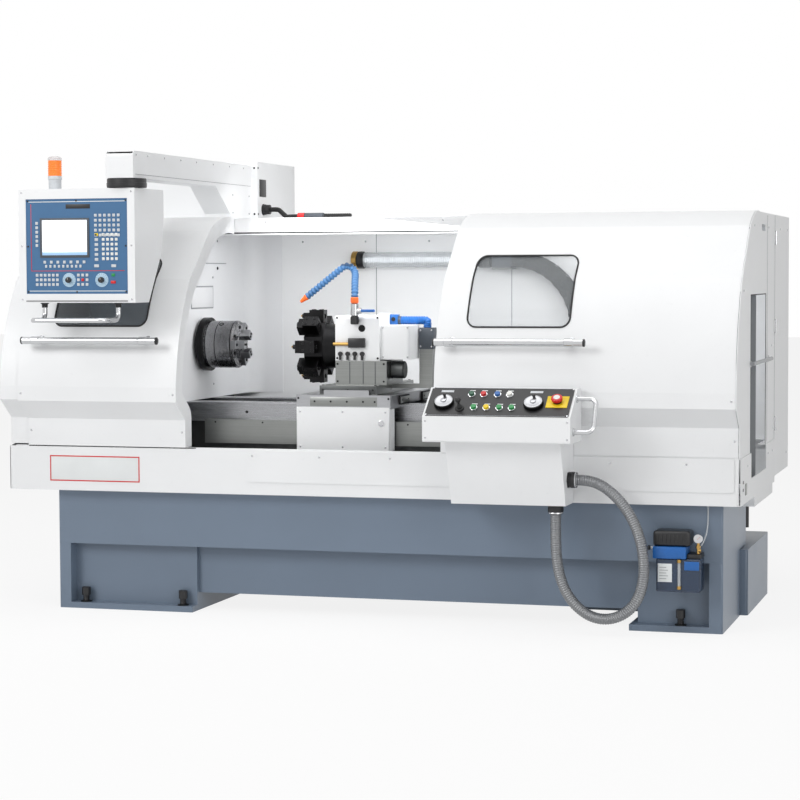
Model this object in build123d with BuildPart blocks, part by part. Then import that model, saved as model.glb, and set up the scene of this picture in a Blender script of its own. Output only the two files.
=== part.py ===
from build123d import *
from math import atan2, cos, degrees, hypot, pi, radians, sin
import os

os.makedirs("parts", exist_ok=True)

# A flat-bed turning lathe, in millimetres. X runs from the headstock to the tailstock, Z is up.
# Depths are counted back from the chip tray's front face, which stands at Y = front.
front = -645.0
sheet = 3.0
slide_gap = 0.3
running_gap = 0.05

# Chip tray
tray_half = 1550.0
tray_depth = 1103.0
tray_low = 508.0
tray_top = 692.0
tray_lip = 35.0
tray_corner = 18.0
guide_width = 26.0
guide_height = 4.5

# Base
base_left = -1350.0
base_right = 1474.0
base_front = 60.0
base_back = 740.0
shelf_low = 277.0
beam_front = 140.0
beam_back = 540.0
beam_low = 75.0
left_pad_end = -745.0
right_pad_start = 1128.0
right_pad_back = 560.0
base_wall = 20.0
pad_frame = 54.0
pad_recess = 58.0
pad_ledge = 25.0
base_round = 9.0
base_joint = 0.2

# Levelling bolts
bolt_places = (-1240.0, -798.0, 1304.0)
bolt_inset = 30.0
bolt_radius = 13.0
bolt_head_radius = 18.5
bolt_height = 88.0
bolt_head_height = 34.0

# Bed
bed_left = -1290.0
bed_right = 1400.0
bed_top = 870.0
way_low = 790.0
way_front = 290.0
way_back = 740.0
way_width = 110.0
bed_web_inset = 20.0
bed_web = 40.0
bed_foot_clearance = 1.0
way_joint = 0.2
axis_depth = 500.0
axis_height = 1110.0

# Screw cover along the bed
cover_left = -748.0
cover_right = 1380.0
cover_front = 230.0
cover_low = 701.0
cover_top = 801.0

# Sliding hoods
hood_low = 697.0
chamfer_low = 811.0
chamfer_top = 890.0
belly = 100.0
curve_start = (-belly, 950.0)
curve_middle = (-45.0, 1190.0)
curve_top = (70.0, 1395.0)
slope_top = (300.0, 1598.0)
crown_middle = (410.0, 1645.0)
crown_end = (596.0, 1659.0)
roof_height = 1659.0
hood_back = 650.0
hood_flange = 70.0
left_hood_left = -1456.0
left_hood_right = -745.0
right_hood_left = 350.0
right_hood_right = 1540.0
window_width = 415.0
window_low = 1200.0
window_top = 1482.0
window_round = 38.0
left_window_start = -1314.0
right_window_start = 470.0
pane_lap = 16.0
pane_thickness = 5.0

# Door bars
bar_height = 1142.0
bar_depth = -125.0
bar_radius = 15.0
bar_length = 601.0
left_bar_start = -1419.0
right_bar_start = 358.0
bar_post_inset = 60.0
bar_post = 11.0

# Enclosure behind and beside the hoods
rail_front = 600.0
rail_low = 1585.0
rail_left = -860.0
roof_front = 652.0
rail_back = 646.0
end_outer = 1545.0
left_end = -1540.0
box_back = 1635.0
box_low = 529.0
box_left = -815.0
end_band = 100.0
end_inset = 8.0
bar_hole = 60.0
panel_joint = 0.2
slot_front = 313.0
slot_back = 790.0
slot_low = 591.0
slot_top = 1320.0
notch_front = 655.0
notch_low = 1584.0
notch_height = 26.0
notch_depth = 120.0

# Access panel in the right end
panel_face = 1493.0
panel_front = 290.0
panel_back = 700.0
panel_low = 560.0
panel_top = 1335.0
end_bar_height = 1048.0
end_bar_radius = 8.0
end_bar_reach = 1565.0
end_bar_end = 905.0

# Electrical cabinet
cabinet_left = -1550.0
cabinet_right = -820.0
cabinet_top = 1930.0
cabinet_back = 1626.7
vent_side = 250.0
vent_proud = 15.0
door_hinge_radius = 4.0
cabinet_door_gap = 0.3

# Pendant arm and pendant
arm_left = -970.0
arm_right = -850.0
arm_low = 1802.0
arm_top = 1911.0
arm_front = -271.0
gusset_front = 645.0
column_front = 823.0
gusset_low = 1685.0
arm_wall = 4.0
pivot_setback = 75.0
swivel_radius = 80.0
swivel_low = 1765.0
spigot_radius = 20.0
pendant_left = -1361.0
pendant_right = -850.0
pendant_front = -262.0
pendant_low = 1300.0
pendant_top = 1762.0
pendant_back = 44.0
pendant_knee = 1620.0
pendant_waist = (12.0, 1494.0)
pendant_foot = -120.0
panel_width = 447.0
panel_height = 385.0
panel_overlap = 10.0
panel_thickness = 4.0
key_size = 11.0
key_proud = 2.5
dial_radius = 11.0
dial_length = 16.0
handle_bar_radius = 10.0
handle_left = -1278.0
handle_right = -951.0
handle_depth = -200.0
handle_front = -335.0
handle_low = 1230.0
lamp_x = -1272.0
lamp_depth = -100.0
lamp_radius = 29.0
lamp_top = 1904.0

# Headstock, spindle and drive
head_left = -1285.0
head_right = -880.0
head_front = 260.0
head_back = 760.0
head_top = 1310.0
inner_wall = -866.5
inner_wall_inset = 12.0
inner_wall_bend = 80.0
inner_wall_reach = -700.0
spindle_radius = 55.0
spindle_bore = 29.0
nose_radius = 116.0
nose_left = -848.0
nose_right = -820.0
pulley_left = -1330.0
pulley_width = 38.0
spindle_pulley = 100.0
motor_pulley_radius = 70.0
belt_thickness = 9.0
motor_depth = 900.0
motor_height = 830.0
motor_radius = 115.0
motor_left = -1240.0
motor_right = -905.0
motor_shaft = 21.0

# Chuck
chuck_radius = 102.0
chuck_right = -687.0
chuck_bore = 26.0
jaw_width = 36.0
jaw_slot = 22.0
jaw_inner = 30.0
jaw_outer = 98.0
jaw_step = 62.0
jaw_right = -645.0
jaw_base_right = -672.0
jaw_angles = (180.0, 60.0, 300.0)

# Carriage
saddle_left = -309.0
saddle_right = 97.0
saddle_front = 150.0
saddle_back = 770.0
saddle_low = 858.0
saddle_top = 914.0
apron_low = 685.0
apron_front = 140.0
apron_back = 216.0
wiper_thickness = 6.0
slide_left = -215.0
slide_right = 30.0
slide_front = 170.0
slide_back = 730.0
slide_top = 952.0
dovetail_left = -190.0
dovetail_right = 5.0
dovetail_top = 934.0
riser_left = -160.0
riser_right = 62.0
riser_top = 1053.0

# Turret
turret_depth = 330.0
housing_left = -166.0
housing_right = 26.0
housing_front = 235.0
housing_back = 425.0
housing_top = 1239.0
motor_cover_right = 150.0
motor_cover_top = 1199.0
disc_left = -303.0
disc_right = -222.0
disc_radius = 106.0
stations = 8
holder_width = 52.0
holder_inner = 92.0
holder_outer = 152.0
holder_right = -240.0
holder_left = -329.0
tool_bore = 10.0
turret_shaft = 35.0
coolant_radius = 12.0
conduit_depth = 405.0
conduit_radius = 17.0
conduit_height = 1217.0
post_left = 156.0
post_right = 214.0
post_top = 1186.0
line_x = -75.0
line_depth = 216.0
line_foot = 1205.0
line_top_depth = 330.0

# Tailstock
tail_left = 1100.0
tail_right = 1380.0
tail_top = 1215.0
tail_front = 380.0
tail_back = 620.0
quill_radius = 35.0
quill_left = 1000.0
quill_right = 1360.0
centre_length = 60.0

# Operator console
console_left = 364.0
console_right = 947.0
console_front = -320.0
console_back = -115.0
console_low = 763.0
console_lip = 862.0
console_top = 967.0
slope_back = -183.0
trolley_left = 434.0
trolley_right = 893.0
trolley_front = -245.0
trolley_foot = -150.0
trolley_low = 509.0
trolley_back = -5.0
console_wall = 2.5
desk_margin = 9.0
desk_thickness = 4.0
wheel_radius = 38.0
wheel_length = 16.0
wheel_places = (-218.0, 137.0)
wheel_rise = -13.0
wheel_shaft = 8.0
joystick_place = (-150.0, -41.0)
joystick_ball = 8.0
stop_place = (228.0, 1.5)
stop_radius = 22.0
stop_shaft = 9.0
stop_travel = 6.0
stop_pocket = 12.0
desk_joint = 0.2
button_radius = 11.0
button_proud = 9.0
upper_buttons = (-118.0, -70.0, -15.0, 33.0)
lower_buttons = (-95.0, -45.0, 6.0, 55.0)
upper_row = 41.0
lower_row = -37.0
grip_radius = 9.0
grip_out = 78.0
strip_left = -472.0
strip_right = 1525.0
strip_low = 560.0

# Hose
hose_radius = 22.0
hose_depth = -100.0
gland_radius = 30.0
gland_length = 34.0
side_gland_height = 608.0
under_gland_x = 843.0
hose_points = [
    (trolley_right + gland_length, side_gland_height),
    (975.0, side_gland_height),
    (1030.0, 588.0),
    (1090.0, 540.0),
    (1138.0, 476.0),
    (1172.0, 400.0),
    (1190.0, 318.0),
    (1192.0, 238.0),
    (1174.0, 160.0),
    (1132.0, 100.0),
    (1066.0, 66.0),
    (994.0, 68.0),
    (930.0, 106.0),
    (883.0, 166.0),
    (856.0, 238.0),
    (845.0, 316.0),
    (under_gland_x, 398.0),
    (under_gland_x, trolley_low - gland_length),
]

# Lamp, cable chain and cable
light_left = -344.0
light_right = 300.0
light_depth = 1050.0
light_height = 1475.0
light_radius = 35.0
chain_radius = 295.0
chain_x = 400.0
chain_height = 1180.0
chain_size = 75.0
chain_front = 1012.0
chain_links = 17
chain_shelf = 88.0
link_window = 26.0
cable_radius = 11.0
cable_joint = 16.0
cable_depth = 1060.0

# Coolant tank and lubricator
tank_left = 760.0
tank_right = 1505.0
tank_front = 566.0
tank_back = 1240.0
tank_top = 272.0
pump_radius = 62.0
pump_x = 1300.0
pump_depth = 1000.0
pump_top = 470.0
pipe_radius = 9.0
lube_left = 1229.0
lube_right = 1402.0
lube_low = 175.0
lube_split = 305.0
lube_band = 352.0
lube_top = 413.0
lube_front = -52.0


def side(x):
    # Upright plane across the machine: local x runs back from the tray's front face, local y is up.
    return Plane(origin=(x, front, 0), x_dir=(0, 1, 0), z_dir=(1, 0, 0))


def level(z):
    return Plane(origin=(0, front, z))


def facing(depth):
    # Upright plane that faces the operator: local x is X, local y is up.
    return Plane(origin=(0, front + depth, 0), x_dir=(1, 0, 0), z_dir=(0, -1, 0))


def block(x0, x1, y0, y1, z0, z1, mode=Mode.ADD):
    with Locations(((x0 + x1) / 2, front + (y0 + y1) / 2, (z0 + z1) / 2)):
        Box(x1 - x0, y1 - y0, z1 - z0, mode=mode)


def rod(start, end, radius, mode=Mode.ADD):
    first = Vector(start[0], front + start[1], start[2])
    last = Vector(end[0], front + end[1], end[2])
    axis = Plane(origin=first, z_dir=last - first)
    with Locations(axis.location):
        Cylinder(radius, (last - first).length, align=(Align.CENTER, Align.CENTER, Align.MIN), mode=mode)


def along_x(x0, x1, depth, height, radius, mode=Mode.ADD):
    rod((x0, depth, height), (x1, depth, height), radius, mode)


def save(piece, name):
    piece.part.label = name
    export_step(piece.part, f"parts/{name}.step")


def hood_band(thickness):
    # Sheet of the hood's section, its outer face on the hood's curve.
    with BuildSketch() as band:
        with BuildLine():
            lower = Polyline((0, hood_low), (0, chamfer_low), (-belly, chamfer_top), curve_start)
            ThreePointArc(lower @ 1, curve_middle, curve_top)
            Line(curve_top, slope_top)
            ThreePointArc(slope_top, crown_middle, crown_end)
            Line(crown_end, (hood_back, roof_height))
            offset(amount=thickness, side=Side.RIGHT)
        make_face()
    return band.sketch


def hood_fill(inset):
    # Everything under the hood's curve, less a margin below the curve.
    with BuildSketch() as fill:
        with BuildLine():
            lower = Polyline((0, hood_low), (0, chamfer_low), (-belly, chamfer_top), curve_start)
            ThreePointArc(lower @ 1, curve_middle, curve_top)
            Line(curve_top, slope_top)
            ThreePointArc(slope_top, crown_middle, crown_end)
            Polyline(crown_end, (hood_back, roof_height), (hood_back, hood_low), (0, hood_low))
        make_face()
        if inset > 0:
            add(hood_band(inset), mode=Mode.SUBTRACT)
    return fill.sketch


# Base
with BuildPart() as base_stand:
    block(base_left, base_right, base_front, base_back, shelf_low, tray_low)
    block(left_pad_end, right_pad_start, beam_front, beam_back, beam_low, shelf_low)
    block(base_left, left_pad_end, base_front, base_back, 0, shelf_low)
    block(right_pad_start, base_right, base_front, right_pad_back, 0, shelf_low)
    fillet(base_stand.edges().filter_by(Axis.Z).group_by(Axis.X)[0], base_round)
    fillet(base_stand.edges().filter_by(Axis.Z).group_by(Axis.X)[-1], base_round)
    block(right_pad_start - pad_ledge, right_pad_start, base_front, right_pad_back, 0, pad_ledge)
    block(base_left + pad_frame, left_pad_end, base_front, base_front + pad_recess,
          pad_ledge, shelf_low, Mode.SUBTRACT)
    block(right_pad_start, base_right - pad_frame, base_front, base_front + pad_recess,
          pad_ledge, shelf_low, Mode.SUBTRACT)
    hollow_front = beam_front + base_wall
    block(base_left + base_wall, left_pad_end - base_wall, hollow_front, base_back - base_wall,
          0, tray_low - base_wall, Mode.SUBTRACT)
    block(right_pad_start + base_wall, base_right - base_wall, hollow_front, right_pad_back - base_wall,
          0, tray_low - base_wall, Mode.SUBTRACT)
    block(left_pad_end + base_wall, right_pad_start - base_wall, hollow_front, beam_back - base_wall,
          beam_low, tray_low - base_wall, Mode.SUBTRACT)
    block(base_left, base_right, base_front, base_back, shelf_low - base_joint, shelf_low, Mode.SUBTRACT)
    for x in (left_pad_end, right_pad_start - base_joint):
        block(x, x + base_joint, beam_front, beam_back, beam_low, shelf_low, Mode.SUBTRACT)
    for x in bolt_places:
        rear = base_back - bolt_inset if x < 0 else right_pad_back - bolt_inset
        for depth in (base_front + bolt_inset, rear):
            rod((x, depth, 0), (x, depth, pad_ledge), bolt_radius + running_gap, Mode.SUBTRACT)
save(base_stand, "base_stand")

with BuildPart() as levelling_bolts:
    for x in bolt_places:
        depth = base_front + bolt_inset
        rod((x, depth, 0), (x, depth, bolt_height), bolt_radius)
        rod((x, depth, bolt_height - bolt_head_height), (x, depth, bolt_height), bolt_head_radius)
    chamfer(levelling_bolts.edges().filter_by(GeomType.CIRCLE).group_by(Axis.Z)[-1], 2)
save(levelling_bolts, "levelling_bolts")

with BuildPart() as chip_tray:
    block(-tray_half, tray_half, 0, tray_depth, tray_low, tray_top)
    fillet(chip_tray.edges().filter_by(Axis.Z), tray_corner)
    block(-tray_half + sheet, tray_half - sheet, sheet, tray_depth - sheet,
          tray_low + sheet, tray_top - sheet, Mode.SUBTRACT)
    block(-tray_half + tray_lip, tray_half - tray_lip, tray_lip, tray_depth - tray_lip,
          tray_low + sheet, tray_top, Mode.SUBTRACT)
    block(bed_left - bed_foot_clearance, bed_right + bed_foot_clearance,
          way_front + bed_web_inset - bed_foot_clearance, way_back - bed_web_inset + bed_foot_clearance,
          tray_low, tray_low + sheet, Mode.SUBTRACT)
    block(-tray_half + tray_lip, right_hood_right, sheet, sheet + guide_width, tray_top,
          tray_top + guide_height)
    block(tray_half - tray_lip - 1, tray_half, slot_front, slot_back, slot_low, tray_top, Mode.SUBTRACT)
    block(base_right + 4, tray_half, 415, 1017, 467, tray_low + sheet)
    block(base_right + 4 + sheet, tray_half - sheet, 415 + sheet, 1017 - sheet, 467 + sheet,
          tray_low + sheet, Mode.SUBTRACT)
save(chip_tray, "chip_tray")

with BuildPart() as tray_front_rail:
    with BuildSketch(facing(0)):
        with Locations(((strip_left + strip_right) / 2, (strip_low + tray_top) / 2)):
            Rectangle(strip_right - strip_left, tray_top - strip_low)
    extrude(amount=-trolley_back - slide_gap)
    fillet(tray_front_rail.edges().filter_by(Axis.Y).group_by(Axis.Z)[0], 14)
save(tray_front_rail, "tray_front_rail")

# Coolant tank and pump
with BuildPart() as coolant_tank:
    block(tank_left, tank_right, tank_front, tank_back, 0, tank_top)
    fillet(coolant_tank.edges().filter_by(Axis.Z), 12)
    block(tank_left + sheet, tank_right - sheet, tank_front + sheet, tank_back - sheet,
          sheet, tank_top - sheet, Mode.SUBTRACT)
    rod((pump_x, pump_depth, tank_top - sheet), (pump_x, pump_depth, tank_top), pump_radius - 10,
        Mode.SUBTRACT)
save(coolant_tank, "coolant_tank")

with BuildPart() as coolant_pump:
    rod((pump_x, pump_depth, tank_top), (pump_x, pump_depth, pump_top), pump_radius)
    rod((pump_x, pump_depth, tank_top), (pump_x, pump_depth, tank_top + 12), pump_radius + 14)
    rod((pump_x, pump_depth, 40), (pump_x, pump_depth, tank_top), pump_radius - 14)
    rod((pump_x + pump_radius - 12, pump_depth, 330), (1440, pump_depth, 330), 14)
    rod((1440, pump_depth, 316), (1440, pump_depth, tray_low), 12)
save(coolant_pump, "coolant_pump")

# Bed
with BuildPart() as lathe_bed:
    block(bed_left, bed_right, way_front + bed_web_inset, way_back - bed_web_inset, tray_low, way_low)
    block(bed_left, bed_right, way_front, way_front + way_width, way_low, bed_top)
    block(bed_left, bed_right, way_back - way_width, way_back, way_low, bed_top)
    well_front = way_front + bed_web_inset + bed_web
    well_back = way_back - bed_web_inset - bed_web
    for cell in range(6):
        left = bed_left + 30 + cell * 440
        block(left, left + 410, well_front, well_back, tray_low + 40, way_low, Mode.SUBTRACT)
    block(bed_left, bed_right, way_front, way_back, way_low - way_joint, way_low, Mode.SUBTRACT)
save(lathe_bed, "lathe_bed")

with BuildPart() as screw_cover:
    block(cover_left, cover_right, cover_front, cover_front + sheet, cover_low, cover_top)
    block(cover_left, cover_right, cover_front, way_front, cover_top - sheet, cover_top)
    block(cover_left, cover_right, cover_front, cover_front + 18, cover_low, cover_low + sheet)
save(screw_cover, "screw_cover")

# Headstock and its inner wall
with BuildPart() as headstock:
    block(head_left, head_right, head_front, head_back, bed_top, head_top)
    fillet(headstock.edges().filter_by(Axis.X).group_by(Axis.Z)[-1], 30)
    along_x(head_left, head_right, axis_depth, axis_height, spindle_radius + running_gap, Mode.SUBTRACT)
save(headstock, "headstock")

with BuildPart() as headstock_wall:
    with BuildSketch(level(bed_top)):
        with BuildLine():
            FilletPolyline((inner_wall, -belly), (inner_wall, tray_depth - 1.5 * sheet),
                           (inner_wall_reach, tray_depth - 1.5 * sheet), radius=inner_wall_bend)
        trace(line_width=sheet)
    extrude(amount=roof_height - sheet - bed_top)
    with BuildSketch(side(inner_wall - 2 * sheet)) as wall_outline:
        add(hood_fill(inner_wall_inset))
        with Locations(((hood_back + tray_depth) / 2, (bed_top + roof_height) / 2)):
            Rectangle(tray_depth - hood_back, roof_height - bed_top)
    extrude(amount=inner_wall_reach - inner_wall + 3 * sheet, mode=Mode.INTERSECT)
    block(inner_wall - sheet, inner_wall_reach, tray_depth - sheet, tray_depth, bed_top, roof_height,
          Mode.SUBTRACT)
    along_x(inner_wall - sheet, inner_wall + sheet, axis_depth, axis_height, spindle_radius + 15,
            Mode.SUBTRACT)
save(headstock_wall, "headstock_wall")

# Spindle and belt drive
with BuildPart() as spindle:
    along_x(pulley_left, nose_left, axis_depth, axis_height, spindle_radius)
    along_x(nose_left, nose_right, axis_depth, axis_height, nose_radius)
    along_x(pulley_left, pulley_left + pulley_width, axis_depth, axis_height, spindle_pulley)
    along_x(pulley_left, nose_right, axis_depth, axis_height, spindle_bore, Mode.SUBTRACT)
save(spindle, "spindle")

with BuildPart() as spindle_motor:
    along_x(motor_left, motor_right, motor_depth, motor_height, motor_radius)
    block(motor_left + 30, motor_right - 30, motor_depth - 95, motor_depth + 95, tray_low + sheet,
          motor_height - 60)
    along_x(motor_left - 12, motor_left, motor_depth, motor_height, 60)
    along_x(motor_left - 12, motor_right, motor_depth, motor_height, motor_shaft + running_gap,
            Mode.SUBTRACT)
save(spindle_motor, "spindle_motor")

with BuildPart() as motor_pulley:
    along_x(pulley_left, pulley_left + pulley_width, motor_depth, motor_height, motor_pulley_radius)
    along_x(pulley_left, motor_right - 20, motor_depth, motor_height, motor_shaft)
save(motor_pulley, "motor_pulley")

with BuildPart() as drive_belt:
    belt_left = pulley_left + 4
    belt_width = pulley_width - 8
    with BuildSketch(side(belt_left)):
        with Locations((axis_depth, axis_height)):
            Circle(spindle_pulley + slide_gap + belt_thickness)
        with Locations((motor_depth, motor_height)):
            Circle(motor_pulley_radius + slide_gap + belt_thickness)
        make_hull()
        with Locations((axis_depth, axis_height)):
            Circle(spindle_pulley + slide_gap, mode=Mode.SUBTRACT)
        with Locations((motor_depth, motor_height)):
            Circle(motor_pulley_radius + slide_gap, mode=Mode.SUBTRACT)
    extrude(amount=belt_width)
    with BuildSketch(side(belt_left)):
        with Locations((axis_depth, axis_height)):
            Circle(spindle_pulley + slide_gap)
        with Locations((motor_depth, motor_height)):
            Circle(motor_pulley_radius + slide_gap)
        make_hull()
    extrude(amount=belt_width, mode=Mode.SUBTRACT)
save(drive_belt, "drive_belt")

with BuildPart() as chuck_body:
    along_x(nose_right, chuck_right, axis_depth, axis_height, chuck_radius)
    along_x(nose_right, chuck_right, axis_depth, axis_height, chuck_bore, Mode.SUBTRACT)
    chamfer(chuck_body.edges().filter_by(GeomType.CIRCLE).group_by(Axis.X)[-1].sort_by(SortBy.RADIUS)[-1], 6)
    for angle in jaw_angles:
        with BuildSketch(side(chuck_right - jaw_slot)):
            with Locations(Location((axis_depth, axis_height, 0), (0, 0, angle))):
                with Locations((chuck_radius / 2 + 10, 0)):
                    Rectangle(chuck_radius + 20, jaw_width)
        extrude(amount=jaw_slot, mode=Mode.SUBTRACT)
save(chuck_body, "chuck_body")


def jaw_prism(angle, inner, outer, x0, x1):
    with BuildSketch(side(x0)) as outline:
        with Locations(Location((axis_depth, axis_height, 0), (0, 0, angle))):
            with Locations(((inner + outer) / 2, 0)):
                Rectangle(outer - inner, jaw_width - 2 * running_gap)
    return extrude(outline.sketch, amount=x1 - x0)


for number, angle in enumerate(jaw_angles, start=1):
    with BuildPart() as chuck_jaw:
        add(jaw_prism(angle, jaw_inner, jaw_outer, chuck_right - jaw_slot + running_gap, jaw_base_right))
        add(jaw_prism(angle, jaw_inner, jaw_step, jaw_base_right, jaw_right))
    save(chuck_jaw, f"chuck_jaw_{number}")

# Sliding hoods with their panes and bars
hoods = {
    "left": (left_hood_left, left_hood_right, left_window_start, left_bar_start, left_hood_right - sheet),
    "right": (right_hood_left, right_hood_right, right_window_start, right_bar_start, right_hood_left),
}
for hand, (hood_left, hood_right, window_start, bar_start, flange_left) in hoods.items():
    window_middle = window_start + window_width / 2
    window_height = (window_low + window_top) / 2
    with BuildPart() as hood:
        with BuildSketch(side(hood_left)):
            add(hood_band(sheet))
        extrude(amount=hood_right - hood_left)
        with BuildSketch(side(flange_left)):
            add(hood_band(hood_flange))
        extrude(amount=sheet)
        block(hood_left, hood_right, 0, sheet + guide_width, hood_low, hood_low + sheet)
        block(hood_left, hood_right, rail_front - 4, hood_back, rail_low - 10, roof_height - sheet,
              Mode.SUBTRACT)
        with BuildSketch(facing(-2 * belly)):
            with Locations((window_middle, window_height)):
                RectangleRounded(window_width, window_top - window_low, window_round)
        extrude(amount=-5 * belly, mode=Mode.SUBTRACT)
    save(hood, f"{hand}_door")
    with BuildPart() as pane:
        with BuildSketch(side(window_start - pane_lap)):
            add(hood_band(sheet + pane_thickness))
            add(hood_band(sheet), mode=Mode.SUBTRACT)
        extrude(amount=window_width + 2 * pane_lap)
        block(window_start - pane_lap, window_start + window_width + pane_lap, -2 * belly, hood_back,
              window_low - pane_lap, window_top + pane_lap, Mode.INTERSECT)
    save(pane, f"{hand}_window")
    with BuildPart() as bar:
        for x in (bar_start + bar_post_inset, bar_start + bar_length - bar_post_inset):
            rod((x, bar_depth, bar_height), (x, 0, bar_height), bar_post)
        with BuildSketch(side(bar_start)):
            add(hood_fill(0))
        extrude(amount=bar_length, mode=Mode.SUBTRACT)
        along_x(bar_start, bar_start + bar_length, bar_depth, bar_height, bar_radius)
    save(bar, f"{hand}_handle")

# Enclosure: roof, rear box, ends and the rail that the hoods run on
with BuildPart() as enclosure:
    block(left_end, end_outer, roof_front, tray_depth, roof_height - sheet, roof_height)
    block(box_left, end_outer, tray_depth - sheet, box_back, roof_height - sheet, roof_height)
    block(left_end, end_outer, tray_depth - sheet, tray_depth, tray_top, roof_height)
    block(box_left, end_outer, tray_depth, tray_depth + sheet, box_low, tray_top + tray_lip)
    block(box_left, end_outer, box_back - sheet, box_back, box_low, roof_height)
    block(box_left, box_left + sheet, tray_depth, box_back, box_low, roof_height)
    with BuildSketch(side(end_outer - sheet)):
        add(hood_fill(0))
        with Locations((hood_back / 2, (tray_top + hood_low) / 2)):
            Rectangle(hood_back, hood_low - tray_top)
        with Locations(((hood_back + box_back) / 2, (tray_top + roof_height) / 2)):
            Rectangle(box_back - hood_back, roof_height - tray_top)
        with Locations(((tray_depth + box_back) / 2, (box_low + tray_top) / 2)):
            Rectangle(box_back - tray_depth, tray_top - box_low)
    extrude(amount=sheet)
    block(end_outer - sheet, end_outer, slot_front, slot_back, tray_top, slot_top, Mode.SUBTRACT)
    block(end_outer - sheet, end_outer, notch_front, notch_front + notch_depth, notch_low,
          notch_low + notch_height, Mode.SUBTRACT)
    with BuildSketch(side(left_end)):
        add(hood_fill(end_inset))
        with Locations(((end_inset + hood_back) / 2, (tray_top + hood_low) / 2)):
            Rectangle(hood_back - end_inset, hood_low - tray_top)
        with Locations(((hood_back + tray_depth) / 2, (tray_top + roof_height) / 2)):
            Rectangle(tray_depth - hood_back, roof_height - tray_top)
    extrude(amount=sheet)
    with BuildSketch(side(left_end)):
        add(hood_band(end_inset + sheet))
        add(hood_band(end_inset), mode=Mode.SUBTRACT)
    extrude(amount=end_band)
    block(left_end, left_end + end_band, -2 * belly, hood_back, hood_low, hood_low + 2 * sheet,
          Mode.SUBTRACT)
    block(left_end, left_end + sheet, sheet + guide_width + 1, hood_back, tray_top, chamfer_low)
    rail_top = roof_height - sheet - slide_gap
    block(rail_left, end_outer, rail_front, rail_front + sheet, rail_low, rail_top)
    block(rail_left, end_outer, rail_front, rail_back, rail_top - sheet, rail_top)
    block(rail_left, end_outer, rail_front, roof_front + sheet, rail_low, rail_low + sheet)
    block(rail_left, end_outer, roof_front, roof_front + sheet, rail_low, roof_height)
    block(left_end, left_end + sheet, axis_depth - bar_hole, axis_depth + bar_hole,
          axis_height - bar_hole, axis_height + bar_hole, Mode.SUBTRACT)
    for depth in (axis_depth - bar_hole, axis_depth + bar_hole - panel_joint):
        block(left_end, left_end + sheet, depth, depth + panel_joint, tray_top, roof_height, Mode.SUBTRACT)
    for x in (left_end + sheet, end_outer - sheet - panel_joint):
        block(x, x + panel_joint, -2 * belly, box_back, box_low, roof_height, Mode.SUBTRACT)
    for depth in (roof_front + sheet, tray_depth - sheet - panel_joint):
        block(left_end, end_outer, depth, depth + panel_joint, roof_height - sheet, roof_height,
              Mode.SUBTRACT)
    block(box_left, end_outer, tray_depth, tray_depth + panel_joint, box_low, roof_height, Mode.SUBTRACT)
save(enclosure, "enclosure")

with BuildPart() as access_panel:
    block(panel_face - sheet, panel_face, panel_front, panel_back, panel_low, panel_top)
    block(panel_face - sheet, end_outer - sheet, panel_front, panel_front + sheet, tray_top, panel_top)
    block(panel_face - sheet, panel_face + 24, panel_back - sheet, panel_back, panel_low, panel_top)
    bar_x = end_bar_reach - end_bar_radius
    rod((bar_x, slot_front - 30, end_bar_height), (bar_x, end_bar_end, end_bar_height), end_bar_radius)
    for depth in (slot_front - 18, end_bar_end - 20):
        rod((end_outer, depth, end_bar_height), (bar_x, depth, end_bar_height), end_bar_radius - 1)
save(access_panel, "access_panel")

# Electrical cabinet
with BuildPart() as electrical_cabinet:
    block(cabinet_left, cabinet_right, tray_depth, cabinet_back, box_low, cabinet_top)
    block(cabinet_left + sheet, cabinet_right - sheet, tray_depth + sheet, cabinet_back,
          box_low + sheet, cabinet_top - sheet, Mode.SUBTRACT)
    block(cabinet_left + 60, cabinet_right - 60, tray_depth + sheet, tray_depth + 40, box_low + 80,
          cabinet_top - 80)
    vent_middle = (tray_depth + cabinet_back) / 2
    for height in (box_low + 300, cabinet_top - 300):
        block(cabinet_left - vent_proud, cabinet_left, vent_middle - vent_side / 2,
              vent_middle + vent_side / 2, height - vent_side / 2, height + vent_side / 2)
save(electrical_cabinet, "electrical_cabinet")

with BuildPart() as cabinet_door:
    hinge_x = cabinet_left + door_hinge_radius + 2
    hinge_depth = cabinet_back + cabinet_door_gap + door_hinge_radius
    door_front = cabinet_back + cabinet_door_gap
    block(hinge_x, cabinet_right - 1, door_front, door_front + sheet, box_low + 1, cabinet_top - 1)
    for height in (box_low + 150, (box_low + cabinet_top) / 2, cabinet_top - 150):
        rod((hinge_x, hinge_depth, height - 30), (hinge_x, hinge_depth, height + 30), door_hinge_radius)
    block(cabinet_right - 60, cabinet_right - 35, door_front + sheet, box_back - 0.5, 1190, 1290)
save(cabinet_door, "cabinet_door")

# Pendant arm and swivel
pivot_x = (arm_left + arm_right) / 2
pivot_depth = arm_front + pivot_setback
with BuildPart() as pendant_arm:
    with BuildSketch(side(arm_left)):
        with BuildLine():
            Polyline((arm_front, arm_low), (arm_front, arm_top), (tray_depth, arm_top),
                     (tray_depth, roof_height), (column_front, roof_height), (column_front, gusset_low),
                     (gusset_front, arm_low), (arm_front, arm_low))
        make_face()
    extrude(amount=arm_right - arm_left)
    fillet(pendant_arm.edges().filter_by(Axis.X).group_by(Axis.Y)[0].sort_by(Axis.Z)[-1], 24)
    block(arm_left + arm_wall, arm_right - arm_wall, arm_front + arm_wall, tray_depth,
          arm_low + arm_wall, arm_top - arm_wall, Mode.SUBTRACT)
    block(arm_left + arm_wall, arm_right - arm_wall, column_front + arm_wall, tray_depth,
          roof_height + arm_wall, arm_low + arm_wall, Mode.SUBTRACT)
save(pendant_arm, "pendant_arm")

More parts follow.
